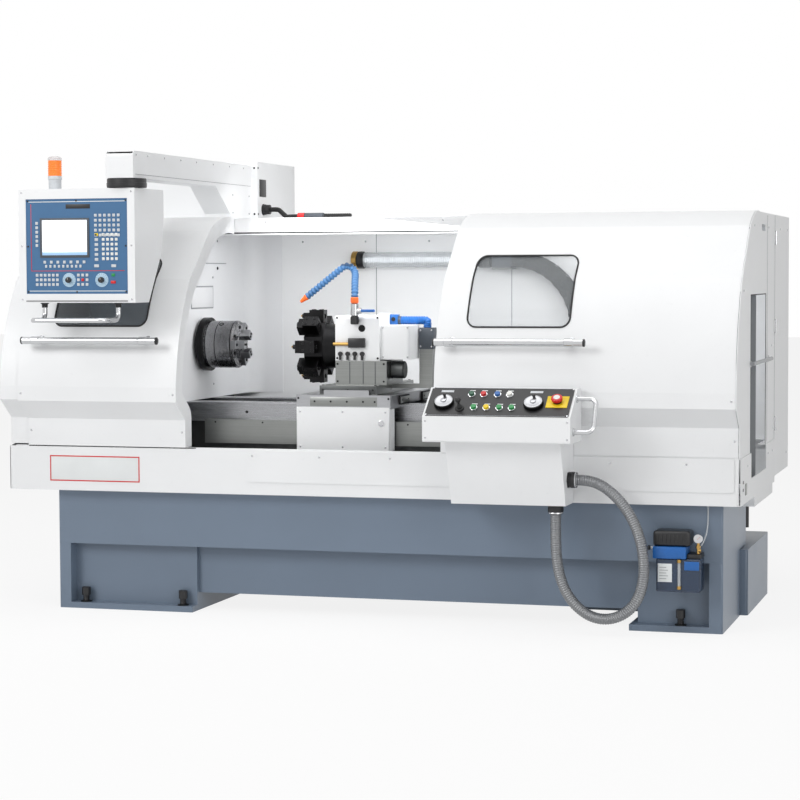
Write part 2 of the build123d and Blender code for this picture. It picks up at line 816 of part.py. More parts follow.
with BuildPart() as pendant_swivel:
    rod((pivot_x, pivot_depth, swivel_low), (pivot_x, pivot_depth, arm_low), swivel_radius)
    rod((pivot_x, pivot_depth, swivel_low), (pivot_x, pivot_depth, arm_low),
        spigot_radius + running_gap, Mode.SUBTRACT)
    chamfer(pendant_swivel.edges().filter_by(GeomType.CIRCLE).sort_by(SortBy.RADIUS)[-2:], 3)
save(pendant_swivel, "pendant_swivel")

pendant_outline = [(pendant_front, pendant_low), (pendant_front, pendant_top), (pendant_back, pendant_top),
                   (pendant_back, pendant_knee), pendant_waist, (pendant_foot, pendant_low)]
panel_middle = ((pendant_left + pendant_right) / 2, (pendant_low + pendant_top) / 2 - 2)
with BuildPart() as pendant_box:
    with BuildSketch(side(pendant_left)):
        with BuildLine():
            Polyline(*pendant_outline, close=True)
        make_face()
    extrude(amount=pendant_right - pendant_left)
    with BuildSketch(side(pendant_left + sheet)):
        with BuildLine():
            Polyline(*pendant_outline, close=True)
        make_face()
        offset(amount=-sheet, mode=Mode.REPLACE)
    extrude(amount=pendant_right - pendant_left - 2 * sheet, mode=Mode.SUBTRACT)
    with BuildSketch(facing(pendant_front)):
        with Locations(panel_middle):
            Rectangle(panel_width, panel_height)
    extrude(amount=-sheet, mode=Mode.SUBTRACT)
    rod((pivot_x, pivot_depth, pendant_top), (pivot_x, pivot_depth, swivel_low - slide_gap), 45)
    rod((pivot_x, pivot_depth, pendant_top), (pivot_x, pivot_depth, arm_low), spigot_radius)
save(pendant_box, "pendant_box")


def panel_keys(left, top, columns, rows, pitch_x, pitch_y, wide=1.0):
    # Grid of raised keys on the pendant panel, placed from its first key's middle.
    face = pendant_front + sheet
    for row in range(rows):
        for column in range(columns):
            x = panel_left + left + column * pitch_x
            z = panel_upper - top - row * pitch_y
            block(x - wide * key_size / 2, x + wide * key_size / 2, face - key_proud, face,
                  z - key_size / 2, z + key_size / 2)


panel_left = panel_middle[0] - panel_width / 2
panel_upper = panel_middle[1] + panel_height / 2
dial_places = {"feed_dial": (189.0, 329.0), "speed_dial": (333.0, 329.0)}
with BuildPart() as pendant_panel:
    seat = pendant_front + sheet
    with BuildSketch(facing(seat + panel_thickness)):
        with Locations(panel_middle):
            Rectangle(panel_width + 2 * panel_overlap, panel_height + 2 * panel_overlap)
    extrude(amount=panel_thickness)
    block(panel_left + 66, panel_left + 276, seat - 1.5, seat, panel_upper - 232, panel_upper - 84)
    panel_keys(48, 98, 1, 6, 17, 18)
    panel_keys(82, 256, 7, 1, 29, 17)
    panel_keys(88, 273, 9, 1, 19, 17, 0.8)
    panel_keys(308, 68, 6, 5, 20, 20)
    panel_keys(311, 146, 1, 6, 20, 20, 1.3)
    panel_keys(341, 146, 4, 6, 19, 19.5)
    panel_keys(311, 272, 1, 1, 20, 20, 1.8)
    panel_keys(386, 272, 1, 1, 20, 20, 1.8)
    panel_keys(47, 309, 6, 3, 18, 19)
    panel_keys(230, 309, 3, 3, 19, 19)
    panel_keys(383, 309, 1, 1, 20, 20, 1.3)
    panel_keys(383, 338, 1, 1, 20, 20, 1.8)
    for place in dial_places.values():
        rod((panel_left + place[0], seat - 1.5, panel_upper - place[1]),
            (panel_left + place[0], seat, panel_upper - place[1]), 28)
save(pendant_panel, "pendant_panel")

for name, place in dial_places.items():
    with BuildPart() as dial:
        x = panel_left + place[0]
        z = panel_upper - place[1]
        dial_seat = seat - 1.5 - running_gap
        rod((x, dial_seat - dial_length, z), (x, dial_seat, z), dial_radius)
        chamfer(dial.edges().group_by(Axis.Y)[0], 1.5)
        block(x - 1.2, x + 1.2, dial_seat - dial_length - 1.5, dial_seat - 2, z, z + dial_radius + 1)
    save(dial, name)

with BuildPart() as pendant_handle:
    bend = 3 * handle_bar_radius
    with BuildLine() as handle_path:
        FilletPolyline(
            (handle_left, front + handle_depth, pendant_low),
            (handle_left, front + handle_depth, handle_low),
            (handle_left, front + handle_front, handle_low),
            (handle_right, front + handle_front, handle_low),
            (handle_right, front + handle_depth, handle_low),
            (handle_right, front + handle_depth, pendant_low),
            radius=bend,
        )
    with BuildSketch(level(pendant_low)):
        with Locations((handle_left, handle_depth)):
            Circle(handle_bar_radius)
    sweep()
save(pendant_handle, "pendant_handle")

with BuildPart() as signal_lamp:
    rod((lamp_x, lamp_depth, pendant_top), (lamp_x, lamp_depth, pendant_top + 45), lamp_radius - 3)
    rod((lamp_x, lamp_depth, pendant_top + 45), (lamp_x, lamp_depth, lamp_top), lamp_radius)
    fillet(signal_lamp.edges().filter_by(GeomType.CIRCLE).group_by(Axis.Z)[-1], 12)
save(signal_lamp, "signal_lamp")

# Carriage
with BuildPart() as saddle:
    block(saddle_left, saddle_right, saddle_front, saddle_back, bed_top + slide_gap, saddle_top)
    block(saddle_left, saddle_right, saddle_front, way_front - slide_gap, saddle_low, saddle_top)
    block(saddle_left, saddle_right, way_back + slide_gap, saddle_back, saddle_low - 20, saddle_top)
    block(dovetail_left, dovetail_right, saddle_front, saddle_back, saddle_top, dovetail_top)
    fillet(saddle.edges().filter_by(Axis.Y).group_by(Axis.Z)[-1], 4)
save(saddle, "saddle")

with BuildPart() as apron_cover:
    block(saddle_left + 2, saddle_right - 2, apron_front, apron_back, apron_low, saddle_low)
    block(saddle_left + 2, saddle_right - 2, apron_front, saddle_front, saddle_low, saddle_low + 6)
    fillet(apron_cover.edges().filter_by(Axis.Z).group_by(Axis.Y)[0], 5)
    block(saddle_left + 2 + sheet, saddle_right - 2 - sheet, apron_front + sheet, apron_back,
          apron_low + sheet, saddle_low - sheet, Mode.SUBTRACT)
save(apron_cover, "apron_cover")

with BuildPart() as way_wipers:
    for x in (saddle_left - wiper_thickness, saddle_right):
        for depth in (way_front - 15, way_back - way_width - 15):
            block(x, x + wiper_thickness, depth, depth + way_width + 30, bed_top + slide_gap, saddle_top - 6)
save(way_wipers, "way_wipers")

with BuildPart() as cross_slide:
    block(slide_left, slide_right, slide_front, slide_back, saddle_top + slide_gap, slide_top)
    block(dovetail_left - slide_gap, dovetail_right + slide_gap, slide_front, slide_back,
          saddle_top, dovetail_top + slide_gap, Mode.SUBTRACT)
    block(riser_left, riser_right, housing_front - 20, housing_back + 30, slide_top, riser_top)
    block(slide_right, post_right, conduit_depth - 25, conduit_depth + 30, dovetail_top, slide_top)
    block(post_left, post_right, conduit_depth - 25, conduit_depth + 30, dovetail_top, post_top)
save(cross_slide, "cross_slide")

with BuildPart() as turret_housing:
    block(housing_left, housing_right, housing_front, housing_back, riser_top, housing_top)
    fillet(turret_housing.edges().filter_by(Axis.X).group_by(Axis.Z)[-1], 14)
    block(housing_right, motor_cover_right, housing_front + 15, housing_back - 15, riser_top + 5,
          motor_cover_top)
    fillet(turret_housing.edges().filter_by(Axis.Z).group_by(Axis.X)[-1], 12)
    along_x(housing_left, housing_right - 60, turret_depth, axis_height, turret_shaft + running_gap,
            Mode.SUBTRACT)
save(turret_housing, "turret_housing")

with BuildPart() as turret_disc:
    with BuildSketch(side(disc_left)):
        with Locations(Location((turret_depth, axis_height, 0), (0, 0, 180 / stations))):
            RegularPolygon(disc_radius, stations)
    extrude(amount=disc_right - disc_left)
    along_x(disc_left - 20, disc_left, turret_depth, axis_height, 48)
    with BuildSketch(side(disc_right)):
        with Locations((turret_depth, axis_height)):
            Circle(disc_radius - 8)
    extrude(amount=housing_left - slide_gap - disc_right, taper=14)
    along_x(housing_left - 5, housing_right - 70, turret_depth, axis_height, turret_shaft)
save(turret_disc, "turret_disc")

with BuildPart() as tool_holders:
    for station in range(stations):
        turn = 360.0 * station / stations
        reach = disc_radius * cos(pi / stations)
        for x0, x1, inner, outer in (
            (disc_left, holder_right, reach, holder_outer),
            (holder_left, disc_left, holder_inner, holder_outer - 12),
        ):
            with BuildSketch(side(x0)):
                with Locations(Location((turret_depth, axis_height, 0), (0, 0, turn))):
                    with Locations(((inner + outer) / 2, 0)):
                        Rectangle(outer - inner, holder_width)
            extrude(amount=x1 - x0)
        with BuildSketch(side(holder_left)):
            with Locations(Location((turret_depth, axis_height, 0), (0, 0, turn))):
                with Locations(((holder_inner + holder_outer) / 2 + 4, 0)):
                    Circle(tool_bore)
        extrude(amount=holder_right - holder_left, mode=Mode.SUBTRACT)
save(tool_holders, "tool_holders")

with BuildPart() as coolant_line:
    with BuildLine() as coolant_path:
        FilletPolyline(
            (line_x, front + line_depth, line_foot),
            (line_x, front + line_depth, 1290),
            (line_x - 28, front + line_top_depth, 1425),
            (line_x - 75, front + line_top_depth, 1450),
            (line_x - 245, front + line_top_depth, 1318),
            radius=34,
        )
    with BuildSketch(level(line_foot)):
        with Locations((line_x, line_depth)):
            Circle(coolant_radius)
    sweep()
    rod((line_x, line_depth, line_foot), (line_x, line_depth, line_foot + 28), coolant_radius + 4)
    rod((line_x, line_depth, line_foot + 14), (line_x, housing_front, line_foot + 14), coolant_radius - 3)
    rod((line_x, line_depth, 1260), (line_x + 85, line_depth, 1260), coolant_radius - 2)
save(coolant_line, "coolant_line")

with BuildPart() as turret_conduit:
    block(housing_right + slide_gap, 60, conduit_depth - 22, conduit_depth + 18, motor_cover_top + slide_gap,
          housing_top + 4)
    with BuildLine() as conduit_path:
        FilletPolyline((60, front + conduit_depth, conduit_height),
                       (185, front + conduit_depth, conduit_height),
                       (185, front + conduit_depth, post_top), radius=30)
    with BuildSketch(Plane(origin=(60, front + conduit_depth, conduit_height), z_dir=(1, 0, 0))):
        Circle(conduit_radius)
    sweep()
save(turret_conduit, "turret_conduit")

# Tailstock
with BuildPart() as tailstock:
    block(tail_left - 10, tail_right, way_front, way_back, bed_top + slide_gap, bed_top + 60)
    block(tail_left, tail_right, tail_front, tail_back, bed_top + 60, tail_top)
    fillet(tailstock.edges().filter_by(Axis.X).group_by(Axis.Z)[-1], 40)
    along_x(tail_left, tail_right, axis_depth, axis_height, quill_radius + running_gap, Mode.SUBTRACT)
save(tailstock, "tailstock")

with BuildPart() as tailstock_quill:
    along_x(quill_left + centre_length, quill_right, axis_depth, axis_height, quill_radius)
    with BuildSketch(side(quill_left + centre_length)):
        with Locations((axis_depth, axis_height)):
            Circle(14)
    extrude(amount=-centre_length + 30)
    with BuildSketch(side(quill_left + 30)):
        with Locations((axis_depth, axis_height)):
            Circle(14)
    extrude(amount=-23, taper=30)
save(tailstock_quill, "tailstock_quill")

# Operator console
rise = console_top - console_lip
run = slope_back - console_front
tilt = degrees(atan2(rise, run))
slope_length = hypot(rise, run)
desk_plane = Plane(
    origin=((console_left + console_right) / 2, front + (console_front + slope_back) / 2,
            (console_lip + console_top) / 2),
    x_dir=(1, 0, 0),
    z_dir=(0, -sin(radians(tilt)), cos(radians(tilt))),
)
desk_top = desk_plane.offset(desk_thickness)
with BuildPart() as console_body:
    with BuildSketch(side(console_left)):
        with BuildLine():
            Polyline((console_front, console_low), (console_front, console_lip), (slope_back, console_top),
                     (console_back, console_top), (console_back, console_low), close=True)
        make_face()
    extrude(amount=console_right - console_left)
    with BuildSketch(side(trolley_left)):
        with BuildLine():
            Polyline((trolley_front, console_low - desk_joint), (trolley_back, console_low - desk_joint),
                     (trolley_back, trolley_low), (trolley_foot, trolley_low), close=True)
        make_face()
    extrude(amount=trolley_right - trolley_left)
    fillet(console_body.edges().filter_by(Axis.X).group_by(Axis.Y)[0].sort_by(Axis.Z)[0], 8)
    block(console_left + console_wall, console_right - console_wall, console_front + console_wall,
          console_back - console_wall, console_low + console_wall, console_lip - 12, Mode.SUBTRACT)
    block(trolley_left + console_wall, trolley_right - console_wall, trolley_foot + 2 * console_wall,
          trolley_back, trolley_low + console_wall, console_low - console_wall, Mode.SUBTRACT)
    with BuildSketch(desk_plane):
        with Locations(joystick_place):
            Circle(joystick_ball + 2)
    extrude(amount=-joystick_ball, mode=Mode.SUBTRACT)
    with BuildSketch(desk_plane):
        with Locations(stop_place):
            Circle(stop_shaft + running_gap)
    extrude(amount=-stop_pocket, mode=Mode.SUBTRACT)
save(console_body, "console_body")

with BuildPart() as console_panel:
    with BuildSketch(desk_plane):
        RectangleRounded(console_right - console_left - 2 * desk_margin, slope_length - desk_margin, 6)
    extrude(amount=desk_thickness)
    with BuildSketch(desk_top):
        with Locations(*[(x, upper_row) for x in upper_buttons], *[(x, lower_row) for x in lower_buttons]):
            Circle(button_radius + 3)
    extrude(amount=2)
    with BuildSketch(desk_top.offset(2)):
        with Locations(*[(x, upper_row) for x in upper_buttons], *[(x, lower_row) for x in lower_buttons]):
            Circle(button_radius)
    extrude(amount=button_proud)
    with BuildSketch(desk_top):
        with Locations(stop_place):
            Rectangle(84, 66)
        with Locations(joystick_place):
            Circle(17)
    extrude(amount=2.5)
    with BuildSketch(desk_top):
        with Locations(stop_place):
            Circle(stop_radius - 5)
    extrude(amount=8)
    with BuildSketch(desk_plane):
        with Locations(stop_place):
            Circle(stop_shaft + running_gap)
        with Locations(*[(x, wheel_rise) for x in wheel_places]):
            Circle(wheel_shaft + running_gap)
        with Locations(joystick_place):
            Circle(joystick_ball + running_gap)
    extrude(amount=desk_thickness + 8, mode=Mode.SUBTRACT)
save(console_panel, "console_panel")

for hand, x in zip(("left", "right"), wheel_places):
    with BuildPart() as wheel:
        with BuildSketch(desk_top.offset(slide_gap)):
            with Locations((x, wheel_rise)):
                Circle(wheel_radius)
        extrude(amount=wheel_length)
        chamfer(wheel.faces().sort_by(Axis.Z)[-1].edges(), 2.5)
        with BuildSketch(desk_plane):
            with Locations((x, wheel_rise)):
                Circle(wheel_shaft)
        extrude(amount=desk_thickness + slide_gap + 1)
        with BuildSketch(desk_top.offset(wheel_length)):
            with Locations((x, wheel_rise + 24)):
                Circle(5)
        extrude(amount=14)
    save(wheel, f"handwheel_{hand}")

with BuildPart() as emergency_stop:
    with BuildSketch(desk_plane):
        with Locations(stop_place):
            Circle(stop_shaft)
    extrude(amount=desk_thickness + 18)
    with BuildSketch(desk_top.offset(8 + stop_travel + slide_gap)):
        with Locations(stop_place):
            Circle(stop_radius)
    extrude(amount=12)
    fillet(emergency_stop.faces().sort_by(Axis.Z)[-1].edges(), 5)
save(emergency_stop, "emergency_stop")

with BuildPart() as joystick:
    with Locations(desk_top * Location((joystick_place[0], joystick_place[1], 0))):
        Sphere(joystick_ball)
    with BuildSketch(desk_top):
        with Locations(joystick_place):
            Circle(4)
    extrude(amount=36)
    with Locations(desk_top.offset(44) * Location((joystick_place[0], joystick_place[1], 0))):
        Sphere(11)
save(joystick, "joystick")

with BuildPart() as console_handle:
    grip_back = slope_back - 15
    grip_front = slope_back - 85
    with BuildLine() as grip_path:
        FilletPolyline(
            (console_right, front + grip_back, 930),
            (console_right + grip_out, front + grip_back, 930),
            (console_right + grip_out, front + grip_front, 806),
            (console_right, front + grip_front, 806),
            radius=3 * grip_radius,
        )
    with BuildSketch(Plane(origin=(console_right, front + grip_back, 930), z_dir=(1, 0, 0))):
        Circle(grip_radius)
    sweep()
save(console_handle, "console_handle")

# Hose and its glands
with BuildPart() as hose_glands:
    along_x(trolley_right, trolley_right + gland_length, hose_depth, side_gland_height, gland_radius)
    rod((under_gland_x, hose_depth, trolley_low - gland_length),
        (under_gland_x, hose_depth, trolley_low), gland_radius)
save(hose_glands, "hose_glands")


def bend_radii(points):
    # Largest tangent arcs: 0.45 of the shorter run, divided by the tangent of half the turn.
    radii = []
    for before, here, after in zip(points, points[1:], points[2:]):
        first = Vector(here[0] - before[0], here[1] - before[1])
        second = Vector(after[0] - here[0], after[1] - here[1])
        half_turn = radians(first.get_angle(second)) / 2
        radii.append(0.45 * min(first.length, second.length) * cos(half_turn) / sin(half_turn))
    return radii


hose_radii = bend_radii(hose_points)
print("hose radii", [round(radius) for radius in hose_radii])
with BuildPart() as hose:
    with BuildLine() as hose_path:
        FilletPolyline(*[(x, front + hose_depth, z) for x, z in hose_points], radius=hose_radii)
    hose_start = (hose_points[0][0], front + hose_depth, hose_points[0][1])
    with BuildSketch(Plane(origin=hose_start, z_dir=(1, 0, 0))):
        Circle(hose_radius)
    sweep()
hose_length = hose_path.wires()[0].length
print("hose length", round(hose_length), "volume", round(hose.part.volume),
      "section times length", round(pi * hose_radius**2 * hose_length))
save(hose, "hose")

# Work light, cable chain and cable
with BuildPart() as work_light:
    along_x(light_left, light_right, light_depth, light_height, light_radius)
    for x in (light_left + 40, light_right - 40):
        block(x - 14, x + 14, light_depth, tray_depth - sheet, light_height - 18, light_height + 18)
        along_x(x - 14, x + 14, light_depth, light_height, light_radius + 4)
save(work_light, "work_light")

with BuildPart() as drag_chain:
    chain_depth = chain_front + chain_size / 2
    link_turn = 180.0 / chain_links
    link_length = pi * (chain_radius + chain_size / 2) / chain_links + 2
    for link in range(chain_links):
        turn = 90.0 - (link + 0.5) * link_turn
        place = Location(
            (chain_x + chain_radius * cos(radians(turn)), front + chain_depth,
             chain_height + chain_radius * sin(radians(turn))),
            (0, 90 - turn, 0),
        )
        with Locations(place):
            Box(link_length, chain_size, chain_size)
    for link in range(chain_links):
        turn = 90.0 - (link + 0.5) * link_turn
        place = Location(
            (chain_x + chain_radius * cos(radians(turn)), front + chain_depth,
             chain_height + chain_radius * sin(radians(turn))),
            (0, 90 - turn, 0),
        )
        with Locations(place):
            Box(link_window, chain_size - 20, 2 * chain_size, mode=Mode.SUBTRACT)
    block(chain_x - chain_shelf, chain_x, chain_front - 4, tray_depth - sheet,
          chain_height + chain_radius - chain_size / 2 - 8, chain_height + chain_radius + chain_size / 2)
    block(chain_x - chain_shelf, chain_x, chain_front - 4, tray_depth - sheet,
          chain_height - chain_radius - chain_size / 2 - 8, chain_height - chain_radius + chain_size / 2)
save(drag_chain, "drag_chain")

with BuildPart() as roof_cable:
    cable_height = roof_height + cable_joint
    rod((cabinet_right, 1180, 1712), (cabinet_right + 34, 1180, 1712), 22)
    with BuildLine() as cable_path:
        FilletPolyline(
            (cabinet_right + 34, front + 1180, 1712),
            (cabinet_right + 75, front + 1180, 1712),
            (cabinet_right + 135, front + 1120, cable_height),
            (cabinet_right + 200, front + cable_depth, cable_height),
            (-355, front + cable_depth, cable_height),
            radius=32,
        )
    with BuildSketch(Plane(origin=(cabinet_right + 34, front + 1180, 1712), z_dir=(1, 0, 0))):
        Circle(cable_radius)
    sweep()
    rod((-607, cable_depth, cable_height), (-575, cable_depth, cable_height), cable_joint)
    rod((-575, cable_depth, cable_height), (-485, cable_depth, cable_height), cable_joint - 1)
save(roof_cable, "roof_cable")

# Lubricator on the right pad
with BuildPart() as lubricator:
    block(lube_left, lube_right, lube_front, base_front - 8, lube_low, lube_split)
    fillet(lubricator.edges().filter_by(Axis.Z), 8)
    block(lube_left - 12, lube_right - 55, lube_front - 6, base_front - 8, lube_split, lube_band)
    block(lube_left - 12, lube_right - 40, lube_front, base_front - 8, lube_band, lube_top)
    fillet(lubricator.edges().filter_by(Axis.X).group_by(Axis.Z)[-1], 10)
    block(lube_left + 10, lube_right - 70, base_front - 8, base_front, shelf_low + 6, lube_top - 10)
    rod((lube_right - 12, -20, 383), (lube_right - 12, -32, 383), 18)
    rod((lube_right - 45, -26, 340), (lube_right - 12, -26, 374), 6)
    rod((lube_left - 12, 0, 340), (lube_left - 42, 0, 340), 9)
save(lubricator, "lubricator")
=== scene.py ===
from itertools import product
from math import atan2, ceil, cos, hypot, pi, radians, sin
import bmesh
import bpy
from mathutils import Matrix, Vector


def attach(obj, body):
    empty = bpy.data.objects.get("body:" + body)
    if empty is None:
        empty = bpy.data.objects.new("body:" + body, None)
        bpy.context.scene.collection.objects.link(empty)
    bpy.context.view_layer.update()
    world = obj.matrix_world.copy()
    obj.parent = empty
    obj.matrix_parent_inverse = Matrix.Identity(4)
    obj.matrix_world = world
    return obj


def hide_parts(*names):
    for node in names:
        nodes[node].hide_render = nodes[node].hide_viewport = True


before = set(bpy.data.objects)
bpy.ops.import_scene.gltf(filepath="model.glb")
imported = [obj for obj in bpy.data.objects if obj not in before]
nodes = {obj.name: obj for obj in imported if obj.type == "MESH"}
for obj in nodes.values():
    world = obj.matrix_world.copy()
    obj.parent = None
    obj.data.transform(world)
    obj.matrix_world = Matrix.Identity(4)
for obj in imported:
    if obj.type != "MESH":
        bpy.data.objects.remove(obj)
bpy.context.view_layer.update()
trayFront = -0.645  # the chip tray's front face; depths below are counted back from it


def at(x, depth, z):  # millimetres from the tray's front face, to metres in the frame
    return Vector((x / 1000, trayFront + depth / 1000, z / 1000))


toFront, toRight, toLeft, toTop, toFloor = (0, -1, 0), (1, 0, 0), (-1, 0, 0), (0, 0, 1), (0, 0, -1)

# Camera first, at the place it was fitted to
camera = {"place": (2.691, -9.208, 1.409), "yaw": 16.33, "pitch": 3.23, "roll": 0.25, "lens": 100.035}


def addCamera(look):
    yaw, pitch, roll = (radians(look[k]) for k in ("yaw", "pitch", "roll"))
    forward = Vector((-sin(yaw) * cos(pitch), cos(yaw) * cos(pitch), -sin(pitch)))
    level = Vector((cos(yaw), sin(yaw), 0))
    down = forward.cross(level)
    right = level * cos(roll) + down * sin(roll)
    down = down * cos(roll) - level * sin(roll)
    data = bpy.data.cameras.new("camera")
    data.lens, data.sensor_width, data.clip_end = look["lens"], 36.0, 100.0
    cam = bpy.data.objects.new("camera", data)
    turn = Matrix((right, -down, -forward)).transposed().to_4x4()
    cam.matrix_world = Matrix.Translation(look["place"]) @ turn
    bpy.context.scene.collection.objects.link(cam)
    bpy.context.scene.camera = cam


addCamera(camera)
print("camera placed")


# Shader writing
class Val:  # a socket that can be used in sums
    def __init__(self, shader, socket):
        self.shader, self.socket = shader, socket

    def sum(self, operation, first, second):
        return self.shader.add("ShaderNodeMath", {"operation": operation}, {0: first, 1: second})

    def __add__(self, other):
        return self.sum("ADD", self, other)

    def __radd__(self, other):
        return self.sum("ADD", other, self)

    def __sub__(self, other):
        return self.sum("SUBTRACT", self, other)

    def __rsub__(self, other):
        return self.sum("SUBTRACT", other, self)

    def __mul__(self, other):
        return self.sum("MULTIPLY", self, other)

    def __rmul__(self, other):
        return self.sum("MULTIPLY", other, self)


class Shader:  # one material's node tree
    def __init__(self, name):
        self.material = bpy.data.materials.new(name)
        self.material.use_nodes = True
        self.tree = self.material.node_tree
        self.tree.nodes.clear()
        self.end = self.tree.nodes.new("ShaderNodeOutputMaterial")

    def add(self, kind, settings=None, inputs=None, output=0):
        node = self.tree.nodes.new(kind)
        for key, value in (settings or {}).items():
            if key == "stops":
                for spare in list(node.color_ramp.elements)[2:]:
                    node.color_ramp.elements.remove(spare)
                while len(node.color_ramp.elements) < len(value):
                    node.color_ramp.elements.new(0.5)
                for stop, (place, colour) in zip(node.color_ramp.elements, value):
                    stop.position = place
                    stop.color = colour if isinstance(colour, tuple) else (colour, colour, colour, 1)
            else:
                setattr(node, key, value)
        for key, value in (inputs or {}).items():
            if isinstance(value, Val):
                self.tree.links.new(value.socket, node.inputs[key])
            else:
                node.inputs[key].default_value = value
        return Val(self, node.outputs[output])

    def place(self):
        return self.add("ShaderNodeTexCoord", output="Object")

    def noise(self, scale, detail=3.0, rough=0.5, stretch=None):
        where = self.place()
        if stretch:
            where = self.add("ShaderNodeVectorMath", {"operation": "MULTIPLY"}, {0: where, 1: stretch})
        return self.add("ShaderNodeTexNoise", None, {"Vector": where, "Scale": scale, "Detail": detail,
                "Roughness": rough})

    def ramp(self, value, *stops):
        return self.add("ShaderNodeValToRGB", {"stops": stops}, {0: value})

    def mix(self, factor, first, second):
        node = self.tree.nodes.new("ShaderNodeMix")
        node.data_type = "RGBA"
        for key, value in ((0, factor), (6, first), (7, second)):
            if isinstance(value, Val):
                self.tree.links.new(value.socket, node.inputs[key])
            else:
                node.inputs[key].default_value = value
        return Val(self, node.outputs[2])

    def bump(self, height, strength, distance):
        return self.add("ShaderNodeBump", None, {"Height": height, "Strength": strength,
                "Distance": distance})

    def finish(self, **inputs):
        names = {"colour": "Base Color", "rough": "Roughness", "metal": "Metallic", "normal": "Normal",
                 "alpha": "Alpha", "ior": "IOR", "glow": "Emission Color",
                 "glowPower": "Emission Strength", "specular": "Specular IOR Level"}
        body = self.add("ShaderNodeBsdfPrincipled", None, {names[k]: v for k, v in inputs.items()})
        self.tree.links.new(body.socket, self.end.inputs[0])
        return self.material


def rgb(r, g, b):  # screen values of 0 to 255, to linear
    def linear(c):
        c = c / 255
        return c / 12.92 if c <= 0.04045 else ((c + 0.055) / 1.055) ** 2.4
    return (linear(r), linear(g), linear(b), 1.0)


def shade(colour, k):
    return (colour[0] * k, colour[1] * k, colour[2] * k, 1.0)


def paint(name, colour, rough=0.38, grain=900.0, depth=0.05, mottle=0.04):
    s = Shader(name)
    cloud = s.noise(3.5, 4.0)
    speck = s.noise(60.0, 3.0)
    tone = s.mix(cloud, shade(colour, 1 - mottle), shade(colour, 1 + mottle))
    tone = s.mix(s.ramp(speck, (0.66, 0.0), (0.74, 0.10)), tone, shade(colour, 0.72))
    normal = s.bump(s.noise(grain, 2.0, 0.6), depth * 4, 0.0004)
    return s.finish(colour=tone, rough=(cloud * 0.14) + (rough - 0.07), normal=normal)


def metal(name, colour, rough=0.25, lines=(1, 1, 1), scale=60.0, depth=0.15, stain=0.25):
    s = Shader(name)
    streak = s.noise(scale, 5.0, 0.65, lines)
    cloud = s.noise(6.0, 4.0)
    tone = s.mix(streak, shade(colour, 1 - stain), shade(colour, 1.08))
    tone = s.mix(s.ramp(cloud, (0.35, 0.0), (0.75, 0.35)), tone, shade(colour, 0.62))
    return s.finish(colour=tone, metal=1.0, rough=(streak * 0.18) + (rough - 0.06),
            normal=s.bump(streak, depth, 0.0006))


def plastic(name, colour, rough=0.42, grain=700.0, depth=0.25, mottle=0.06):
    s = Shader(name)
    fine = s.noise(grain, 2.0)
    cloud = s.noise(9.0, 3.0)
    tone = s.mix(cloud, shade(colour, 1 - mottle), shade(colour, 1 + mottle))
    return s.finish(colour=tone, rough=(fine * 0.12) + (rough - 0.06), normal=s.bump(fine, depth, 0.0003))


def glass(name, colour, alpha):
    s = Shader(name)
    smear = s.noise(7.0, 5.0, 0.6)
    return s.finish(colour=s.mix(smear, shade(colour, 0.9), colour), alpha=alpha,
            rough=(smear * 0.10) + 0.04, ior=1.49, specular=0.6)


def glow(name, colour, power):
    s = Shader(name)
    cloud = s.noise(40.0, 2.0)
    tone = s.mix(cloud, shade(colour, 0.93), colour)
    return s.finish(colour=tone, rough=0.25, glow=tone, glowPower=power)


tones = {
    "white": rgb(238, 239, 240), "tray": rgb(236, 237, 238), "inner": rgb(232, 233, 235),
    "cast": rgb(112, 126, 143), "grey": rgb(150, 153, 156), "black": rgb(26, 26, 28),
    "steel": rgb(176, 177, 180), "dark": rgb(52, 52, 53),
    "panel": rgb(58, 104, 146), "blue": rgb(30, 98, 172), "brass": rgb(196, 158, 92),
}
whitePaint = paint("whitePaint", tones["white"])
trayPaint = paint("trayPaint", tones["tray"])
innerPaint = paint("innerPaint", tones["inner"], mottle=0.05)
greyPaint = paint("greyPaint", tones["grey"])
castPaint = paint("castPaint", tones["cast"], rough=0.36, grain=420.0, depth=0.16, mottle=0.05)
blackPaint = paint("blackPaint", tones["black"], rough=0.34, mottle=0.15)
wayIron = metal("wayIron", rgb(168, 169, 172), 0.24, (0.06, 6, 6), 90.0)
bedIron = metal("bedIron", rgb(96, 98, 98), 0.42, scale=30.0, stain=0.4)
groundSteel = metal("groundSteel", tones["steel"], 0.28, (0.25, 5, 5), 80.0)
coverSteel = metal("coverSteel", rgb(150, 152, 150), 0.30, (0.05, 8, 8), 60.0, stain=0.35)
chuckSteel = metal("chuckSteel", rgb(158, 158, 160), 0.24, (6, 1, 1), 60.0, stain=0.35)
darkSteel = metal("darkSteel", tones["dark"], 0.34, scale=45.0, stain=0.35)
turretBlack = metal("turretBlack", rgb(44, 44, 45), 0.33, scale=40.0, stain=0.4)
chrome = metal("chrome", rgb(205, 206, 208), 0.12, (0.4, 4, 4), 40.0, 0.05, 0.08)
brass = metal("brass", tones["brass"], 0.26, scale=50.0)
blackPlastic = plastic("blackPlastic", rgb(24, 24, 26))
dialGrey = plastic("dialGrey", rgb(176, 205, 226), 0.45)
beadBlue = plastic("beadBlue", rgb(44, 84, 124), 0.34)
orangePlastic = plastic("orangePlastic", rgb(222, 96, 32), 0.36)
stonePaint = paint("stonePaint", rgb(206, 206, 204), 0.42)
rubber = plastic("rubber", rgb(20, 20, 21), 0.62, 260.0, 0.4)
bluePlastic = plastic("bluePlastic", tones["blue"], 0.32)
keyGrey = plastic("keyGrey", rgb(205, 209, 213), 0.5)
keyDark = plastic("keyDark", rgb(70, 76, 84), 0.5)
